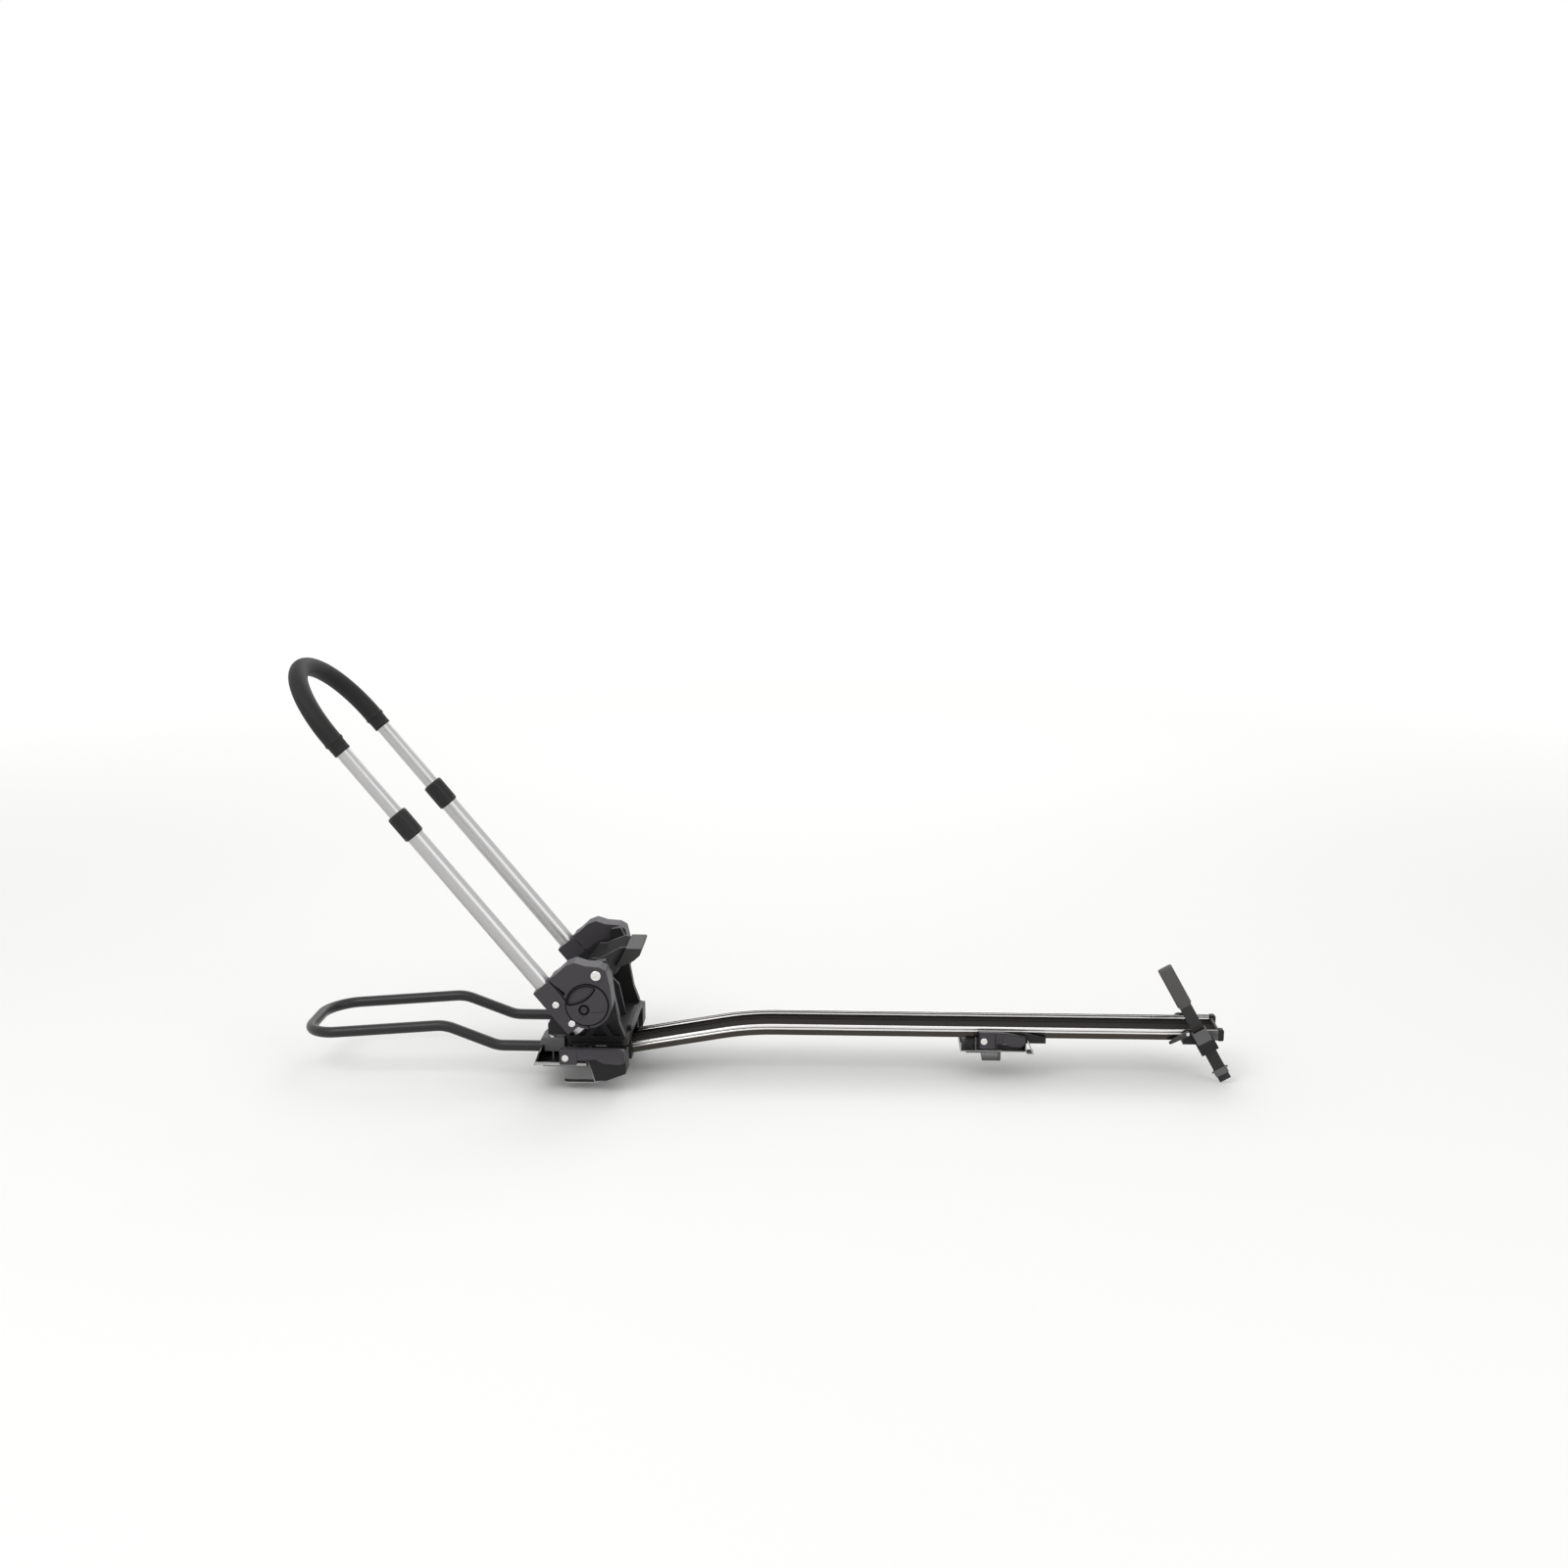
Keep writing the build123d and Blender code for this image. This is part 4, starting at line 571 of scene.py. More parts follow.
def closeUp(piece, smoothAngle=35.0):
    # merges doubles, turns the faces outwards and shades by angle
    reopen(piece)
    bpy.ops.mesh.remove_doubles(threshold=mergeAt)
    bpy.ops.mesh.normals_make_consistent(inside=False)
    bpy.ops.object.mode_set(mode="OBJECT")
    bpy.ops.object.shade_smooth_by_angle(angle=math.radians(smoothAngle))


def joinPieces(pieces, name=None):
    bpy.ops.object.select_all(action="DESELECT")
    for piece in pieces:
        piece.select_set(True)
    bpy.context.view_layer.objects.active = pieces[0]
    bpy.ops.object.join()
    if name:
        pieces[0].name = name
    return pieces[0]


def deliver(piece, slotName, body, *nodes, finish=None):
    # material, body and the CAD nodes that the piece stands for
    piece.data.materials.clear()
    piece.data.materials.append(finishes[finish or slotName])
    if nodes:
        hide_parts(*nodes)
    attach(piece, body)


def frameOf(origin, xAxis, yAxis, zAxis):
    # matrix that carries a flat drawing to its plane
    turn = Matrix((xAxis, yAxis, zAxis)).transposed().to_4x4()
    return Matrix.Translation(origin) @ turn


def turnedAxes(turn):
    # the frame's x and z, turned up by the angle
    along = Vector((math.cos(turn), 0.0, math.sin(turn)))
    return along, Vector((-math.sin(turn), 0.0, math.cos(turn)))


def nearFace(centre, face, turn=0.0):
    # plane of a drawing on the near side; its centre is given along the car and up
    along, up = turnedAxes(turn)
    return frameOf(Vector((centre[0], face, centre[1])), along, up, -alongY)


# Rubber sleeve over the hoop: stepped grip, arch, stepped grip

hoopSleeve = {
    "gripFoot": 0.587,
    "archStart": 0.614,
    "sides": 40,
    "archSteps": 56,
    "wall": 0.0024,
    # distance from the grip's foot, and radius there
    "gripSteps": [
        (0.0, 0.0146), (0.0005, 0.0151), (0.0016, 0.0153), (0.0075, 0.0153), (0.0082, 0.0150),
        (0.0090, 0.0150), (0.0097, 0.0153), (0.0180, 0.0154), (0.0194, 0.0158), (0.0206, 0.0166),
        (0.0218, 0.0171), (0.0230, 0.0173), (0.0242, 0.0172), (0.0252, 0.0169), (0.0262, 0.0164),
        (0.0270, 0.0162),
    ],
}


def makeHoopSleeve():
    s = hoopSleeve
    first, radius = s["gripSteps"][0]
    bpy.ops.object.select_all(action="DESELECT")
    bpy.ops.mesh.primitive_circle_add(
        vertices=s["sides"], radius=radius,
        location=(-armSide, s["gripFoot"] + first, 0.0), rotation=(math.pi / 2, 0.0, 0.0),
    )
    sleeve = startPiece("hoopSleeve")
    bpy.ops.mesh.select_all(action="SELECT")

    def stepAlong(side, old, new):
        factor = new[1] / old[1]
        extrudeBy((0.0, new[0] - old[0], 0.0))
        bpy.ops.transform.resize(
            value=(factor, 1.0, factor), center_override=(side, s["gripFoot"], 0.0)
        )

    for old, new in zip(s["gripSteps"], s["gripSteps"][1:]):
        stepAlong(-armSide, old, new)
    bpy.ops.mesh.spin(
        steps=s["archSteps"], angle=math.pi, center=(0.0, s["archStart"], 0.0), axis=alongZ
    )
    back = s["gripSteps"][::-1]
    for old, new in zip(back, back[1:]):
        stepAlong(armSide, old, new)
    bpy.ops.mesh.select_all(action="SELECT")
    bpy.ops.mesh.normals_make_consistent(inside=False)
    settle(sleeve)
    addModifier(sleeve, "SOLIDIFY", thickness=s["wall"], offset=-1.0)
    settle(sleeve, frameOf(armFoot, alongY, alongArm, outOfHoop))
    closeUp(sleeve, 50.0)
    deliver(sleeve, "cover_rubber", "hoop", "hoop_cover")


makeHoopSleeve()
print("hoop sleeve made")


# Rubber strap with ratchet teeth, its keeper near the tail, and a wider pad on its bends

wheelStrap = {
    "origin": (1.090, 0.0, 0.040),
    "lean": math.radians(29.5),
    "pitch": 0.0038,
    "toothHeight": 0.0008,
    "thickness": 0.0029,
    "width": 0.021,
    "toothedShare": 0.47,
    # shares of the width where the edges' rails begin and end
    "railCuts": (-0.42, -0.34, 0.34, 0.42),
    # share of the pitch, and of the tooth's height there
    "tooth": ((0.35, 1.0), (0.75, 0.25)),
    "edgeThickness": 0.55,
    "lineSteps": 24,
    # across the car and up the strap
    "line": [
        (-0.0546, -0.092), (-0.0546, -0.06), (-0.0546, -0.02), (-0.0546, 0.022), (-0.0470, 0.048),
        (-0.0360, 0.0755), (-0.0262, 0.0995), (-0.0100, 0.1165), (0.0100, 0.1165), (0.0262, 0.0995),
        (0.0360, 0.0755), (0.0468, 0.048), (0.0504, 0.026), (0.0504, 0.004), (0.0504, -0.018),
    ],
}
strapUp = Vector((-math.sin(wheelStrap["lean"]), 0.0, math.cos(wheelStrap["lean"])))
strapOut = Vector((math.cos(wheelStrap["lean"]), 0.0, math.sin(wheelStrap["lean"])))
strapPlane = frameOf(Vector(wheelStrap["origin"]), alongY, strapUp, strapOut)


def makeStrapLine():
    bpy.ops.object.select_all(action="DESELECT")
    bpy.ops.curve.primitive_nurbs_path_add(location=(0.0, 0.0, 0.0))
    line = bpy.context.object
    line.name = "strapLine"
    line.data.dimensions = "2D"
    spline = line.data.splines[0]
    points = wheelStrap["line"]
    spline.points.add(len(points) - len(spline.points))
    for point, (across, up) in zip(spline.points, points):
        point.co = (across, up, 0.0, 1.0)
    spline.order_u = 3
    spline.use_endpoint_u = True
    spline.resolution_u = wheelStrap["lineSteps"]
    line.data.resolution_u = wheelStrap["lineSteps"]
    return line, spline.calc_length()


def makeStrapLink(name, start, pitch, toothed):
    # one length of the strap: rounded edges, a rail along each edge, a tooth across
    s = wheelStrap
    link = startBox(name, (start + pitch / 2, 0.0, 0.0), (pitch, s["thickness"], s["width"]))
    cutAcross(alongZ, [share * s["width"] for share in s["railCuts"]])
    if toothed:
        tooth = [(start + share * pitch, rise) for share, rise in s["tooth"]]
        cutAcross(alongX, [x for x, rise in tooth])
        half = s["railCuts"][2] * s["width"] * 1.01
        for x, rise in tooth:
            pick(link, "VERT", lambda p, v: p.y > 0 and abs(p.z) < half and abs(p.x - x) < 1e-6)
            moveBy((0.0, s["toothHeight"] * rise, 0.0))
    # the strap's edges are thinned, which rounds them
    pick(link, "VERT", lambda p, v: abs(p.z) > 0.49 * s["width"])
    bpy.ops.transform.resize(
        value=(1.0, s["edgeThickness"], 1.0), center_override=(start, 0.0, 0.0)
    )
    # cut faces between links stay open, so the array joins them
    pick(link, "FACE", lambda p, f: abs(f.normal.x) > facingAt)
    bpy.ops.mesh.delete(type="FACE")
    settle(link)
    return link


def makeWheelStrap():
    s = wheelStrap
    line, length = makeStrapLine()
    count = round(length / s["pitch"])
    pitch = length / count
    toothed = round(count * s["toothedShare"])
    parts = []
    for name, first, links, tooth in (
        ("wheelStrap", 0, toothed, True),
        ("strapPlain", toothed, count - toothed, False),
    ):
        link = makeStrapLink(name, first * pitch, pitch, tooth)
        addModifier(
            link, "ARRAY", count=links, use_relative_offset=False, use_constant_offset=True,
            constant_offset_displace=(pitch, 0.0, 0.0), use_merge_vertices=True,
        )
        parts.append(link)
    strap = joinPieces(parts)
    capEnds(strap)
    addModifier(strap, "CURVE", object=line, deform_axis="POS_X")
    bpy.data.objects.remove(line)
    settle(strap, strapPlane)
    closeUp(strap, 40.0)
    deliver(strap, "strap_rubber", "strap_slider", "wheel_strap")
    print("strap's flat length in mm:", round(length * 1000.0))


makeWheelStrap()

strapClip = {
    "up": -0.0745, "length": 0.0125, "width": 0.0242, "thickness": 0.0062, "wall": 0.0014,
    "rounding": 0.0009, "pin": 0.03, "pinRadius": 0.0016, "pinShare": 0.3, "pinRim": 0.0004,
}


def makeStrapClip():
    # grey keeper with a cross pin
    s = strapClip
    side = wheelStrap["line"][0][0]
    clip = startBox("strapClip", (side, s["up"], 0.0), (s["thickness"], s["length"], s["width"]))
    pick(clip, "FACE", lambda p, f: abs(f.normal.y) > facingAt)
    bpy.ops.mesh.inset(thickness=s["wall"])
    bpy.ops.mesh.bridge_edge_loops()
    settle(clip)
    softenEdges(clip, s["rounding"], segments=3)
    bpy.ops.object.select_all(action="DESELECT")
    bpy.ops.mesh.primitive_cylinder_add(
        vertices=24, radius=s["pinRadius"], depth=s["pin"],
        location=(side, s["up"] + s["length"] * s["pinShare"], 0.0),
    )
    pin = startPiece("clipPin")
    pick(pin, "FACE", lambda p, f: abs(f.normal.z) > facingAt)
    bpy.ops.mesh.inset(thickness=s["pinRim"])
    settle(pin)
    clip = joinPieces([clip, pin])
    settle(clip, strapPlane)
    closeUp(clip)
    deliver(clip, "grey_plastic", "strap_slider")


makeStrapClip()
print("wheel strap made")


# Rubber pads: two bar pads with grooves along their length, and the wheel stop's curved pad

barPads = {
    "frontBarPad": {"node": "front_bar_pad", "body": "carrier_base", "grooves": 9},
    "rearBarPad": {"node": "rear_bar_pad", "body": "rear_clamp", "grooves": 7},
}
grooveDepth = 0.0009


def makeBarPad(name, pad):
    low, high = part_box(pad["node"])
    span = high - low
    piece = startBox(name, (low + high) / 2, span)
    strips = 2 * pad["grooves"] + 1
    width = span.x / strips
    cutAcross(alongX, [low.x + step * width for step in range(1, strips)])
    pick(
        piece, "FACE",
        lambda p, f: f.normal.z < -facingAt and int((p.x - low.x) / width) % 2 == 1,
    )
    extrudeBy((0.0, 0.0, grooveDepth))
    settle(piece)
    softenEdges(piece, 0.0004)
    closeUp(piece, 30.0)
    deliver(piece, "pad_rubber", pad["body"], pad["node"])


for padName, pad in barPads.items():
    makeBarPad(padName, pad)

stopPad = {
    "centre": (-0.250, 0.0, 0.343),
    "inner": 0.3755,
    "outer": 0.3775,
    "halfWidth": 0.027,
    "from": 27.45,
    "to": 47.95,
    "steps": 36,
    "ridges": 6,
    "ridgeHeight": 0.0005,
}


def makeStopPad():
    s = stopPad
    half, strips = s["halfWidth"], 2 * s["ridges"] + 1
    bpy.ops.object.select_all(action="DESELECT")
    bpy.ops.mesh.primitive_plane_add(size=1.0)
    pad = startPiece("stopPad")
    bpy.ops.transform.resize(value=(s["outer"] - s["inner"], 2 * half, 1.0))
    cutAcross(alongY, [half * (2 * step / strips - 1) for step in range(1, strips)])
    # every other groove line on the inner side sits lower
    pick(
        pad, "VERT",
        lambda p, v: p.x < 0 and abs(p.y) < half * 0.99
        and round((p.y / half + 1) * strips / 2) % 2 == 1,
    )
    moveBy((2 * s["ridgeHeight"], 0.0, 0.0))
    start = math.radians(s["from"])
    out = Vector((math.cos(start), 0.0, -math.sin(start)))
    middle = Vector(s["centre"]) + out * (s["inner"] + s["outer"]) / 2
    settle(pad, frameOf(middle, out, alongY, out.cross(alongY)))
    reopen(pad)
    bpy.ops.mesh.spin(
        steps=s["steps"], angle=math.radians(s["to"] - s["from"]), center=s["centre"],
        axis=-alongY, use_auto_merge=False,
    )
    settle(pad)
    capEnds(pad)
    closeUp(pad)
    deliver(pad, "pad_rubber", "carrier_base", "stop_pad")


makeStopPad()
print("pads made")


# Bright beads along both walls of the tray, and a grey sleeve at the end of each wall

trayBeads = {
    "bendCentre": (0.350, -0.4998),
    "bendTurn": math.radians(10.0),
    "bendSteps": 10,
    "front": 0.100,
    "rear": 1.1205,
    "underside": 0.026,
    "sides": 20,
    # height over the underside, distance from the middle, radius
    "beads": [(0.0166, 0.041, 0.00255), (0.0115, 0.041, 0.00185), (0.0128, 0.0392, 0.0019)],
}


def makeTrayBead(name, side, height, offset, radius):
    s = trayBeads
    turn = s["bendTurn"]
    along, up = turnedAxes(turn)
    centre = Vector((s["bendCentre"][0], 0.0, s["bendCentre"][1]))
    bendStart = centre + up * (s["underside"] - s["bendCentre"][1] + height)
    run = (bendStart.x - s["front"]) / along.x
    bpy.ops.object.select_all(action="DESELECT")
    bpy.ops.mesh.primitive_circle_add(vertices=s["sides"], radius=radius)
    bead = startPiece(name)
    settle(bead, frameOf(bendStart - along * run + alongY * side * offset, up, alongY, -along))
    reopen(bead)
    extrudeBy(along * run)
    bpy.ops.mesh.spin(
        steps=s["bendSteps"], angle=turn, center=centre, axis=-alongY, use_auto_merge=False
    )
    extrudeBy((s["rear"] - centre.x, 0.0, 0.0))
    settle(bead)
    capEnds(bead)
    return bead


def makeTrayBeads():
    strips = []
    for side, label in ((-1, "near"), (1, "far")):
        for index, (height, offset, radius) in enumerate(trayBeads["beads"]):
            strips.append(makeTrayBead(f"{label}Bead{index}", side, height, offset, radius))
    beads = joinPieces(strips, "trayBeads")
    closeUp(beads, 60.0)
    deliver(beads, "anodised_tray", "carrier_base", finish="bright_bead")


makeTrayBeads()
print("tray beads made")

traySleeve = {
    "from": 1.1005, "to": 1.1218, "half": 0.0435, "skin": 0.0008, "foot": 0.0268,
    "head": 0.0455, "cuts": (0.36, 0.64), "border": 0.0008, "sunk": 0.0005,
}


def makeTraySleeves():
    s = traySleeve
    tall = s["head"] - s["foot"]
    middleX, middleZ = (s["from"] + s["to"]) / 2, (s["foot"] + s["head"]) / 2
    sleeves = []
    for side in (-1, 1):
        middle = (middleX, side * (s["half"] + s["skin"] / 2), middleZ)
        sleeve = startBox(f"traySleeve{side}", middle, (s["to"] - s["from"], s["skin"] * 2, tall))
        cutAcross(alongZ, [s["foot"] + share * tall for share in s["cuts"]])
        pick(
            sleeve, "FACE",
            lambda p, f: f.normal.y * side > facingAt and abs(p.z - middleZ) < 0.002,
        )
        bpy.ops.mesh.inset(thickness=s["border"])
        moveBy((0.0, -side * s["sunk"], 0.0))
        settle(sleeve)
        sleeves.append(sleeve)
    sleeve = joinPieces(sleeves, "traySleeves")
    softenEdges(sleeve, 0.0005)
    closeUp(sleeve)
    deliver(sleeve, "grey_plastic", "carrier_base")


makeTraySleeves()


# Light lip under the near end of the front channel

channelLip = {
    "front": -0.0555, "rear": 0.0335, "face": -0.1506, "depth": 0.0022, "foot": 0.0031,
    "head": 0.0078, "border": 0.0011, "groove": 0.0005, "curl": 0.0016,
}


def makeChannelLip():
    s = channelLip
    middle = (
        (s["front"] + s["rear"]) / 2, s["face"] + s["depth"] / 2, (s["foot"] + s["head"]) / 2
    )
    span = (s["rear"] - s["front"], s["depth"], s["head"] - s["foot"])
    lip = startBox("channelLip", middle, span)
    pick(lip, "FACE", lambda p, f: f.normal.y < -facingAt)
    bpy.ops.mesh.inset(thickness=s["border"])
    moveBy((0.0, s["groove"], 0.0))
    # the front end curls up a little
    pick(lip, "VERT", lambda p, v: p.x < s["front"] + 0.002 and p.z > middle[2])
    moveBy((0.0, 0.0, s["curl"]))
    settle(lip)
    softenEdges(lip, 0.0005, sharp=0.5)
    closeUp(lip)
    deliver(lip, "satin_aluminium", "carrier_base", finish="zinc_steel")


makeChannelLip()
print("tray sleeves and channel lip made")


# Buckle: grey catch over a wider black foot, both with the strap's slot

buckle = {
    "face": -0.0675,
    "back": -0.0529,
    "slotGap": 0.0022,
    # up the strap, half the width, and whether the face has a press pad
    "parts": {
        "buckleCatch": (-0.011, 0.012, 0.0132, True),
        "buckleFoot": (-0.031, -0.0112, 0.0162, False),
    },
    "padBorder": 0.0035,
    "padStep": 0.0006,
    "padSunk": 0.0008,
    "rounding": 0.0011,
}


def makeBucklePart(name, low, high, half, pressPad):
    s = buckle
    middle = ((s["face"] + s["back"]) / 2, (low + high) / 2, 0.0)
    part = startBox(name, middle, (s["back"] - s["face"], high - low, 2 * half))
    # the strap's slot runs through from end to end
    pick(part, "FACE", lambda p, f: abs(f.normal.y) > facingAt)
    bpy.ops.mesh.inset(thickness=s["slotGap"])
    bpy.ops.mesh.bridge_edge_loops()
    if pressPad:
        pick(part, "FACE", lambda p, f: f.normal.x < -facingAt)
        bpy.ops.mesh.inset(thickness=s["padBorder"])
        bpy.ops.mesh.inset(thickness=s["padStep"])
        moveBy((s["padSunk"], 0.0, 0.0))
    settle(part, strapPlane)
    softenEdges(part, s["rounding"], segments=3)
    closeUp(part)
    return part


catch, foot = [makeBucklePart(name, *sizes) for name, sizes in buckle["parts"].items()]
deliver(catch, "grey_plastic", "strap_slider", "buckle_body")
deliver(foot, "black_plastic", "strap_slider")
print("buckle made")


# Pad on the strap's upper bends, wider than the strap

rimPad = {
    "from": 0.385, "to": 0.655, "width": 0.0256, "thickness": 0.0062, "steps": 56,
    "edgeCuts": (-0.36, 0.36), "edgeThickness": 0.55, "taperSteps": 3,
    "taperFactors": (0.9, 0.93, 0.93), "ribEvery": 3, "ribHeight": 0.0006,
}


def makeRimPad():
    s = rimPad
    line, length = makeStrapLine()
    low, high = s["from"] * length, s["to"] * length
    step = (high - low) / s["steps"]
    pad = startBox("rimPad", ((low + high) / 2, 0.0, 0.0), (high - low, s["thickness"], s["width"]))
    cutAcross(alongZ, [share * s["width"] for share in s["edgeCuts"]])
    cutAcross(alongX, [low + index * step for index in range(1, s["steps"])])
    # thin edges, and a soft taper at both ends
    pick(pad, "VERT", lambda p, v: abs(p.z) > 0.45 * s["width"])
    bpy.ops.transform.resize(
        value=(1.0, s["edgeThickness"], 1.0), center_override=(low, 0.0, 0.0)
    )
    for index, factor in enumerate(s["taperFactors"]):
        reach = (s["taperSteps"] - index) * step * 0.99
        pick(pad, "VERT", lambda p, v: p.x < low + reach or p.x > high - reach)
        bpy.ops.transform.resize(value=(1.0, factor, factor), center_override=(low, 0.0, 0.0))
    # cross ribs on the inner side
    taper = s["taperSteps"] * step
    pick(
        pad, "FACE",
        lambda p, f: abs(f.normal.y) > facingAt and p.y < 0 and abs(p.z) < 0.3 * s["width"]
        and low + taper < p.x < high - taper and int((p.x - low) / step) % s["ribEvery"] == 1,
    )
    extrudeBy((0.0, -s["ribHeight"], 0.0))
    settle(pad)
    addModifier(pad, "CURVE", object=line, deform_axis="POS_X")
    bpy.data.objects.remove(line)
    settle(pad, strapPlane)
    softenEdges(pad, 0.0005, sharp=0.7)
    closeUp(pad, 40.0)
    deliver(pad, "strap_rubber", "strap_slider", finish="rim_pad")


makeRimPad()
print("rim pad made")


# Dark ring round the knob, painted shade of the groove at its rim, and the lock's barrel with its
# key slot

knobRing = {
    "centre": (0.037, 0.112), "radius": 0.0362, "thick": 0.00115, "face": -0.1522, "steps": 96,
}
ringSides = 12


def makeKnobRing():
    s = knobRing
    bpy.ops.object.select_all(action="DESELECT")
    bpy.ops.mesh.primitive_circle_add(
        vertices=ringSides, radius=s["thick"], location=(s["radius"], 0.0, 0.0),
        rotation=(math.pi / 2, 0.0, 0.0),
    )
    ring = startPiece("knobRing")
    bpy.ops.mesh.select_all(action="SELECT")
    bpy.ops.mesh.spin(
        steps=s["steps"], angle=2 * math.pi, center=(0.0, 0.0, 0.0), axis=alongZ,
        use_auto_merge=True,
    )
    settle(ring, nearFace(s["centre"], s["face"]))
    closeUp(ring, 60.0)
    deliver(ring, "pad_rubber", "arms", finish="gap_shade_line")


makeKnobRing()

lockBarrel = {
    "centre": (0.032, 0.104), "radius": 0.0054, "face": -0.1539, "back": -0.1506,
    # borders from the edge inwards; the face is sunk inside the second
    "borders": (0.0009, 0.0005, 0.0012), "sunk": 0.0004,
    "slot": (0.0058, 0.0013), "slotDepth": 0.0014, "rounding": 0.00025,
}


def makeLockBarrel():
    s = lockBarrel
    depth = s["back"] - s["face"]
    bpy.ops.object.select_all(action="DESELECT")
    bpy.ops.mesh.primitive_cylinder_add(
        vertices=48, radius=s["radius"], depth=depth, location=(0.0, 0.0, depth / 2)
    )
    barrel = startPiece("lockBarrel")
    pick(barrel, "FACE", lambda p, f: f.normal.z > facingAt)
    edge, step, middle = s["borders"]
    bpy.ops.mesh.inset(thickness=edge)
    bpy.ops.mesh.inset(thickness=step)
    moveBy((0.0, 0.0, -s["sunk"]))
    bpy.ops.mesh.inset(thickness=middle)
    # the middle is drawn in to the key slot's outline and pushed down
    inner = s["radius"] - edge - step - middle
    bpy.ops.transform.resize(value=(s["slot"][0] / 2 / inner, s["slot"][1] / 2 / inner, 1.0))
    extrudeBy((0.0, 0.0, -s["slotDepth"]))
    settle(barrel, nearFace(s["centre"], s["back"]))
    softenEdges(barrel, s["rounding"])
    closeUp(barrel, 40.0)
    deliver(barrel, "charcoal_plastic", "lock", "lock_barrel")


makeLockBarrel()


# Dark lines on the knob, painted shade along both edges of the finger recess, the lock's ring and
# the seams

knobLines = {
    "pivot": (0.037, 0.112), "face": -0.1544, "turn": math.radians(31.4), "steps": 40, "flat": 0.3,
    # centre above the pivot, radius, half angle, middle of the arc, line's radius
    "arcs": [
        (0.06183, 0.0525, math.radians(32.0), -math.pi / 2, 0.0014),
        (0.0, 0.0336, math.radians(56.0), math.pi / 2, 0.0011),
    ],
    "lock": (0.032, 0.104), "lockRadius": 0.0079, "lockThick": 0.0018,
    # fine seams from the lock to the knob's edge, as across and up from the pivot
    "seams": [((0.0063, -0.0137), (0.0305, -0.0103)), ((-0.0042, -0.0185), (-0.0172, -0.0298))],
    "seamWidth": 0.0006,
}


def makeKnobArc(name, centre, radius, half, middle, thick):
    first = middle - half
    bpy.ops.object.select_all(action="DESELECT")
    bpy.ops.mesh.primitive_circle_add(
        vertices=ringSides, radius=thick,
        location=(centre[0] + radius * math.cos(first), centre[1] + radius * math.sin(first), 0.0),
        rotation=(math.pi / 2, 0.0, first),
    )
    arc = startPiece(name)
    bpy.ops.mesh.select_all(action="SELECT")
    bpy.ops.mesh.spin(
        steps=knobLines["steps"], angle=2 * half, center=(*centre, 0.0), axis=(0.0, 0.0, -1.0),
        use_auto_merge=False,
    )
    bpy.ops.mesh.select_all(action="SELECT")
    bpy.ops.transform.resize(value=(1.0, 1.0, knobLines["flat"]), center_override=(0.0, 0.0, 0.0))
    settle(arc)
    return arc


def makeSeam(name, start, end, width):
    start, end = Vector((*start, 0.0)), Vector((*end, 0.0))
    run = end - start
    bpy.ops.object.select_all(action="DESELECT")
    bpy.ops.mesh.primitive_cube_add(
        size=1.0, location=(start + end) / 2, rotation=(0.0, 0.0, math.atan2(run.y, run.x))
    )
    bpy.context.object.scale = (run.length, width, width * 0.6)
    seam = startPiece(name)
    pick(seam, "FACE", lambda p, f: f.normal.z > facingAt)
    bpy.ops.mesh.inset(thickness=width * 0.2)
    settle(seam)
    return seam


def makeKnobLines():
    s = knobLines
    lines = []
    for index, (up, radius, half, middle, thick) in enumerate(s["arcs"]):
        line = makeKnobArc(f"knobLine{index}", (0.0, up), radius, half, middle, thick)
        capEnds(line)
        lines.append(line)
    lines = joinPieces(lines)
    settle(lines, nearFace(s["pivot"], s["face"], s["turn"]))
    ring = makeKnobArc("lockRing", (0.0, 0.0), s["lockRadius"], math.pi, 0.0, s["lockThick"])
    closeUp(ring, 60.0)
    settle(ring, nearFace(s["lock"], s["face"]))
    seams = [
        makeSeam(f"knobSeam{index}", *ends, s["seamWidth"])
        for index, ends in enumerate(s["seams"])
    ]
    seams = joinPieces(seams)
    settle(seams, nearFace(s["pivot"], s["face"]))
    lines = joinPieces([lines, ring, seams], "knobLines")
    closeUp(lines, 60.0)
    deliver(lines, "pad_rubber", "knob", finish="gap_shade_line")


makeKnobLines()
print("knob ring, lines and lock made")


# Raised hub and arm on both clamp levers, with a groove between them

leverFaces = {
    "frontLeverFace": {
        "body": "front_lever", "face": -0.1665, "raise": 0.0008,
        "hub": (-0.0092, 0.0192, 0.0108, 0.0372),
        "low": [
            (0.0210, 0.0192), (0.0510, 0.0208), (0.0655, 0.0136), (0.0920, 0.0114),
            (0.1000, 0.0144),
        ],
        "high": [
            (0.0210, 0.0372), (0.0510, 0.0372), (0.0655, 0.0370), (0.0920, 0.0366),
            (0.1000, 0.0346),
        ],
        "grooves": [], "panel": 0.0026,
    },
    "rearLeverFace": {
        "body": "rear_lever", "face": -0.0632, "raise": 0.0008,
        "hub": (0.7078, 0.7342, 0.0133, 0.0407),
        "low": [
            (0.7360, 0.0220), (0.7400, 0.0222), (0.7415, 0.0223), (0.7460, 0.0224),
            (0.7475, 0.0225), (0.7520, 0.0227), (0.7614, 0.0174), (0.7790, 0.0168),
            (0.7862, 0.0230),
        ],
        "high": [
            (0.7360, 0.0405), (0.7400, 0.0404), (0.7415, 0.0403), (0.7460, 0.0402),
            (0.7475, 0.0401), (0.7520, 0.0396), (0.7614, 0.0376), (0.7790, 0.0340),
            (0.7862, 0.0326),
        ],
        "grooves": [0.74075, 0.74675], "panel": 0.0,
    },
}
leverHub = {"corner": 0.0032, "cornerSteps": 5, "border": 0.0011, "sunk": 0.0003}
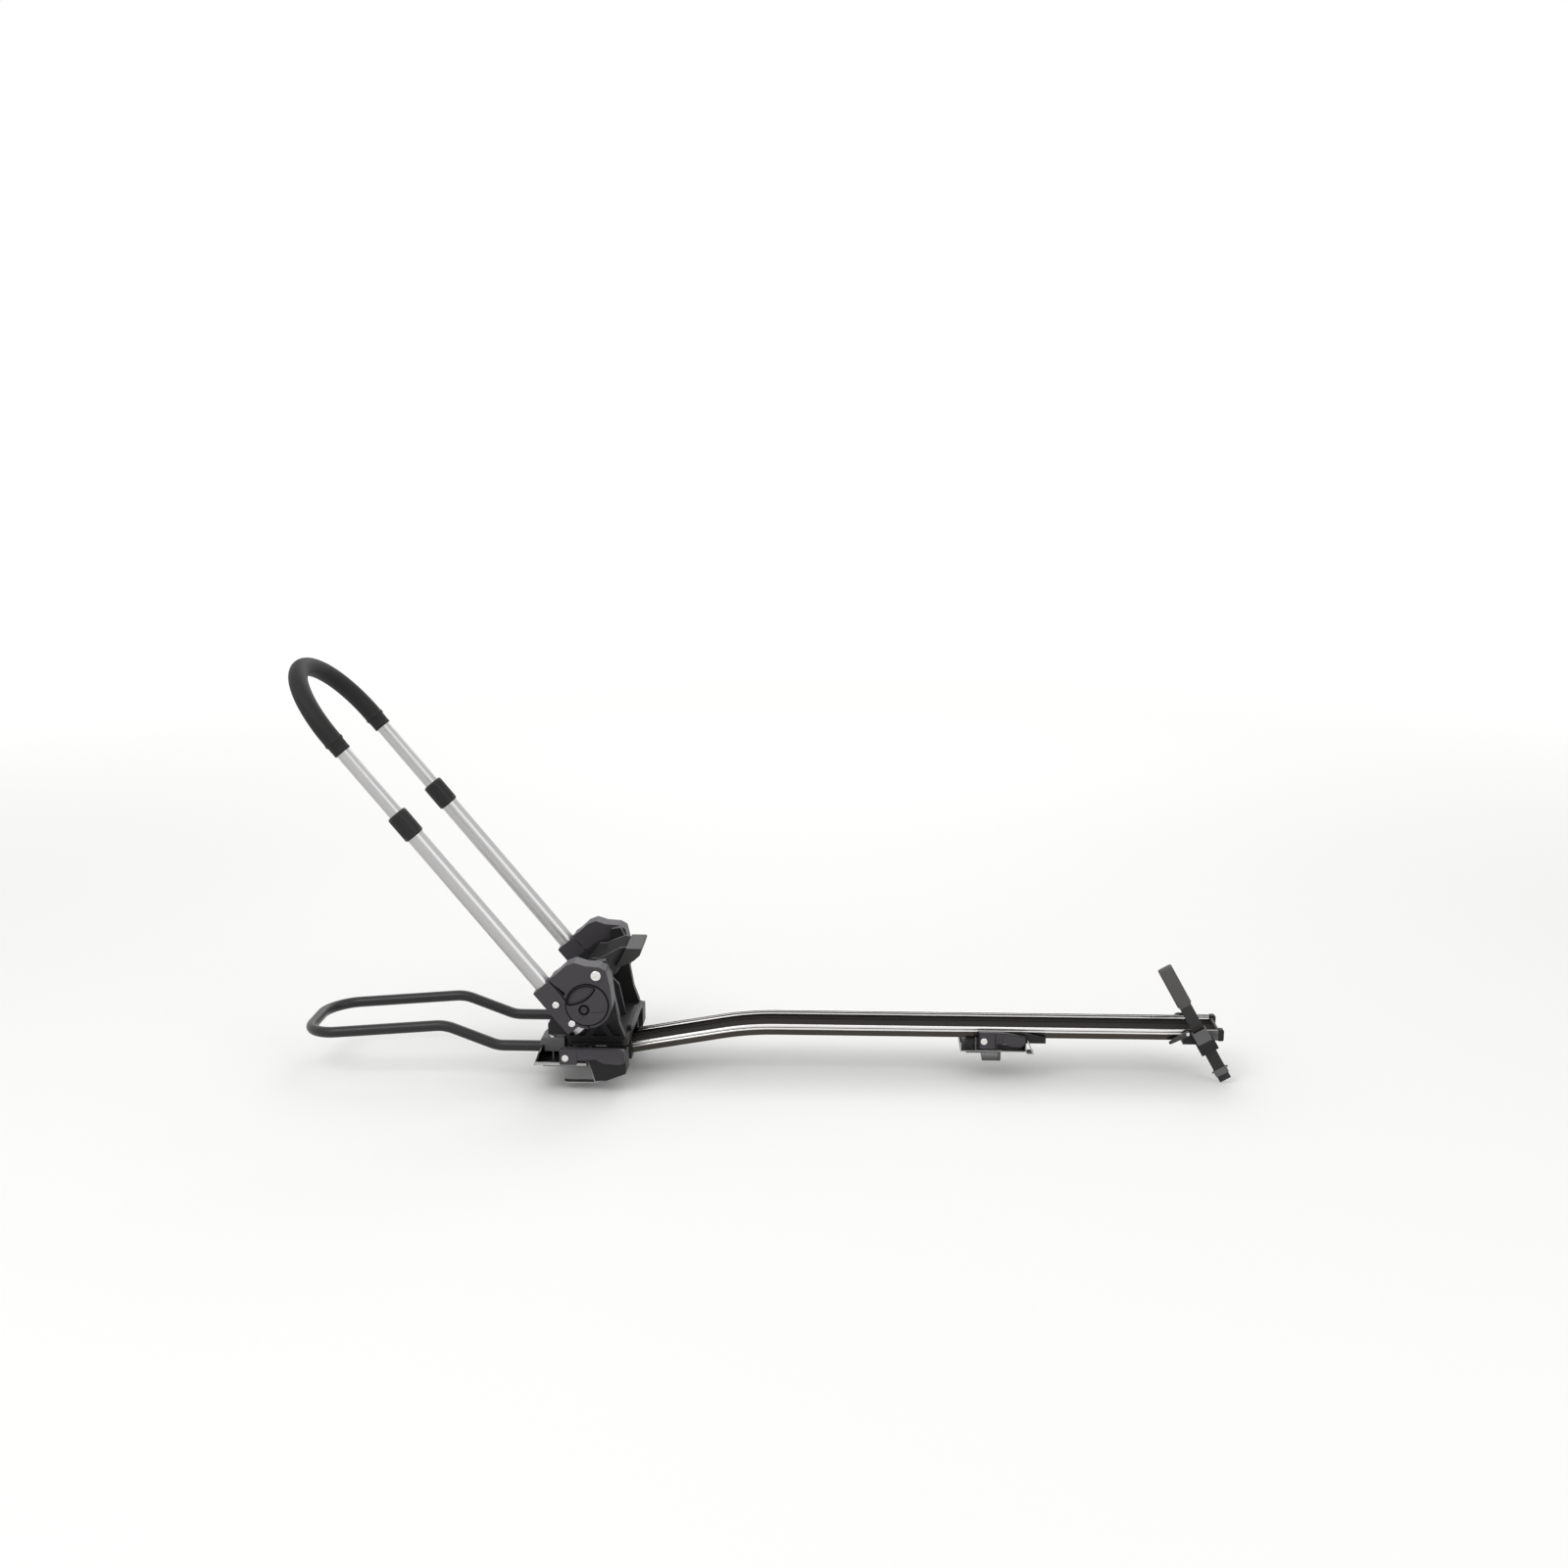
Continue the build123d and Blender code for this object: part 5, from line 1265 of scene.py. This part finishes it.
leverGroove = 0.0006  # depth, and width of the step round the panel


def makeLeverHub(name, s):
    front, rear, low, high = s["hub"]
    middle = ((front + rear) / 2, s["face"], (low + high) / 2)
    hub = startBox(name, middle, (rear - front, 2 * s["raise"], high - low))
    pick(
        hub, "EDGE",
        lambda p, e: abs(p.x - middle[0]) > 0.001 and abs(p.z - middle[2]) > 0.001,
    )
    bpy.ops.mesh.bevel(offset=leverHub["corner"], segments=leverHub["cornerSteps"])
    pick(hub, "FACE", lambda p, f: f.normal.y < -facingAt)
    bpy.ops.mesh.inset(thickness=leverHub["border"])
    moveBy((0.0, leverHub["sunk"], 0.0))
    settle(hub)
    return hub


def makeLeverArm(name, s):
    front, low = s["low"][0]
    rear, high = s["low"][-1][0], s["high"][0][1]
    middle = ((front + rear) / 2, s["face"], (low + high) / 2)
    arm = startBox(name, middle, (rear - front, 2 * s["raise"], high - low))
    cutAcross(alongX, [x for x, z in s["low"][1:-1]])
    # each cut's two ends go to the outline's height
    for line, side, start in ((s["low"], -1, low), (s["high"], 1, high)):
        for x, z in line:
            pick(arm, "VERT", lambda p, v: abs(p.x - x) < 0.0002 and abs(p.z - start) < 0.00001)
            moveBy((0.0, 0.0, z - start + side * 0.00002))
    for x in s["grooves"]:
        pick(arm, "FACE", lambda p, f: f.normal.y < -facingAt and abs(p.x - x) < 0.0006)
        extrudeBy((0.0, leverGroove, 0.0))
    if s["panel"]:
        pick(arm, "FACE", lambda p, f: f.normal.y < -facingAt)
        bpy.ops.mesh.inset(thickness=s["panel"])
        bpy.ops.mesh.inset(thickness=leverGroove)
        moveBy((0.0, leverGroove, 0.0))
    settle(arm)
    return arm


for faceName, face in leverFaces.items():
    leverFace = joinPieces([makeLeverHub(faceName, face), makeLeverArm(faceName + "Arm", face)])
    softenEdges(leverFace, 0.0003)
    closeUp(leverFace)
    deliver(leverFace, "charcoal_plastic", face["body"])


# Bright cut edges of the rear channel's ends

rearLip = {
    "front": 0.6750, "rear": 0.7900, "side": 0.0500, "out": 0.0005, "foot": 0.0030,
    "head": 0.0193, "wall": 0.0016,
}


def makeRearLip():
    s = rearLip
    wallFront, wallRear = s["front"] + s["wall"], s["rear"] - s["wall"]
    lips = []
    for side in (-1, 1):
        middle = ((s["front"] + s["rear"]) / 2, side * s["side"], s["foot"] + s["wall"] / 2)
        span = (s["rear"] - s["front"], 2 * s["out"], s["wall"])
        lip = startBox(f"rearLip{side}", middle, span)
        cutAcross(alongX, (wallFront, wallRear))
        # both ends turn up along the channel's walls
        pick(
            lip, "FACE",
            lambda p, f: f.normal.z > facingAt and not wallFront < p.x < wallRear,
        )
        extrudeBy((0.0, 0.0, s["head"] - s["foot"] - s["wall"]))
        settle(lip)
        lips.append(lip)
    lip = joinPieces(lips, "rearChannelLips")
    softenEdges(lip, 0.0002)
    closeUp(lip)
    deliver(lip, "satin_aluminium", "rear_clamp", finish="zinc_steel")


makeRearLip()
print("lever faces and rear channel lips made")
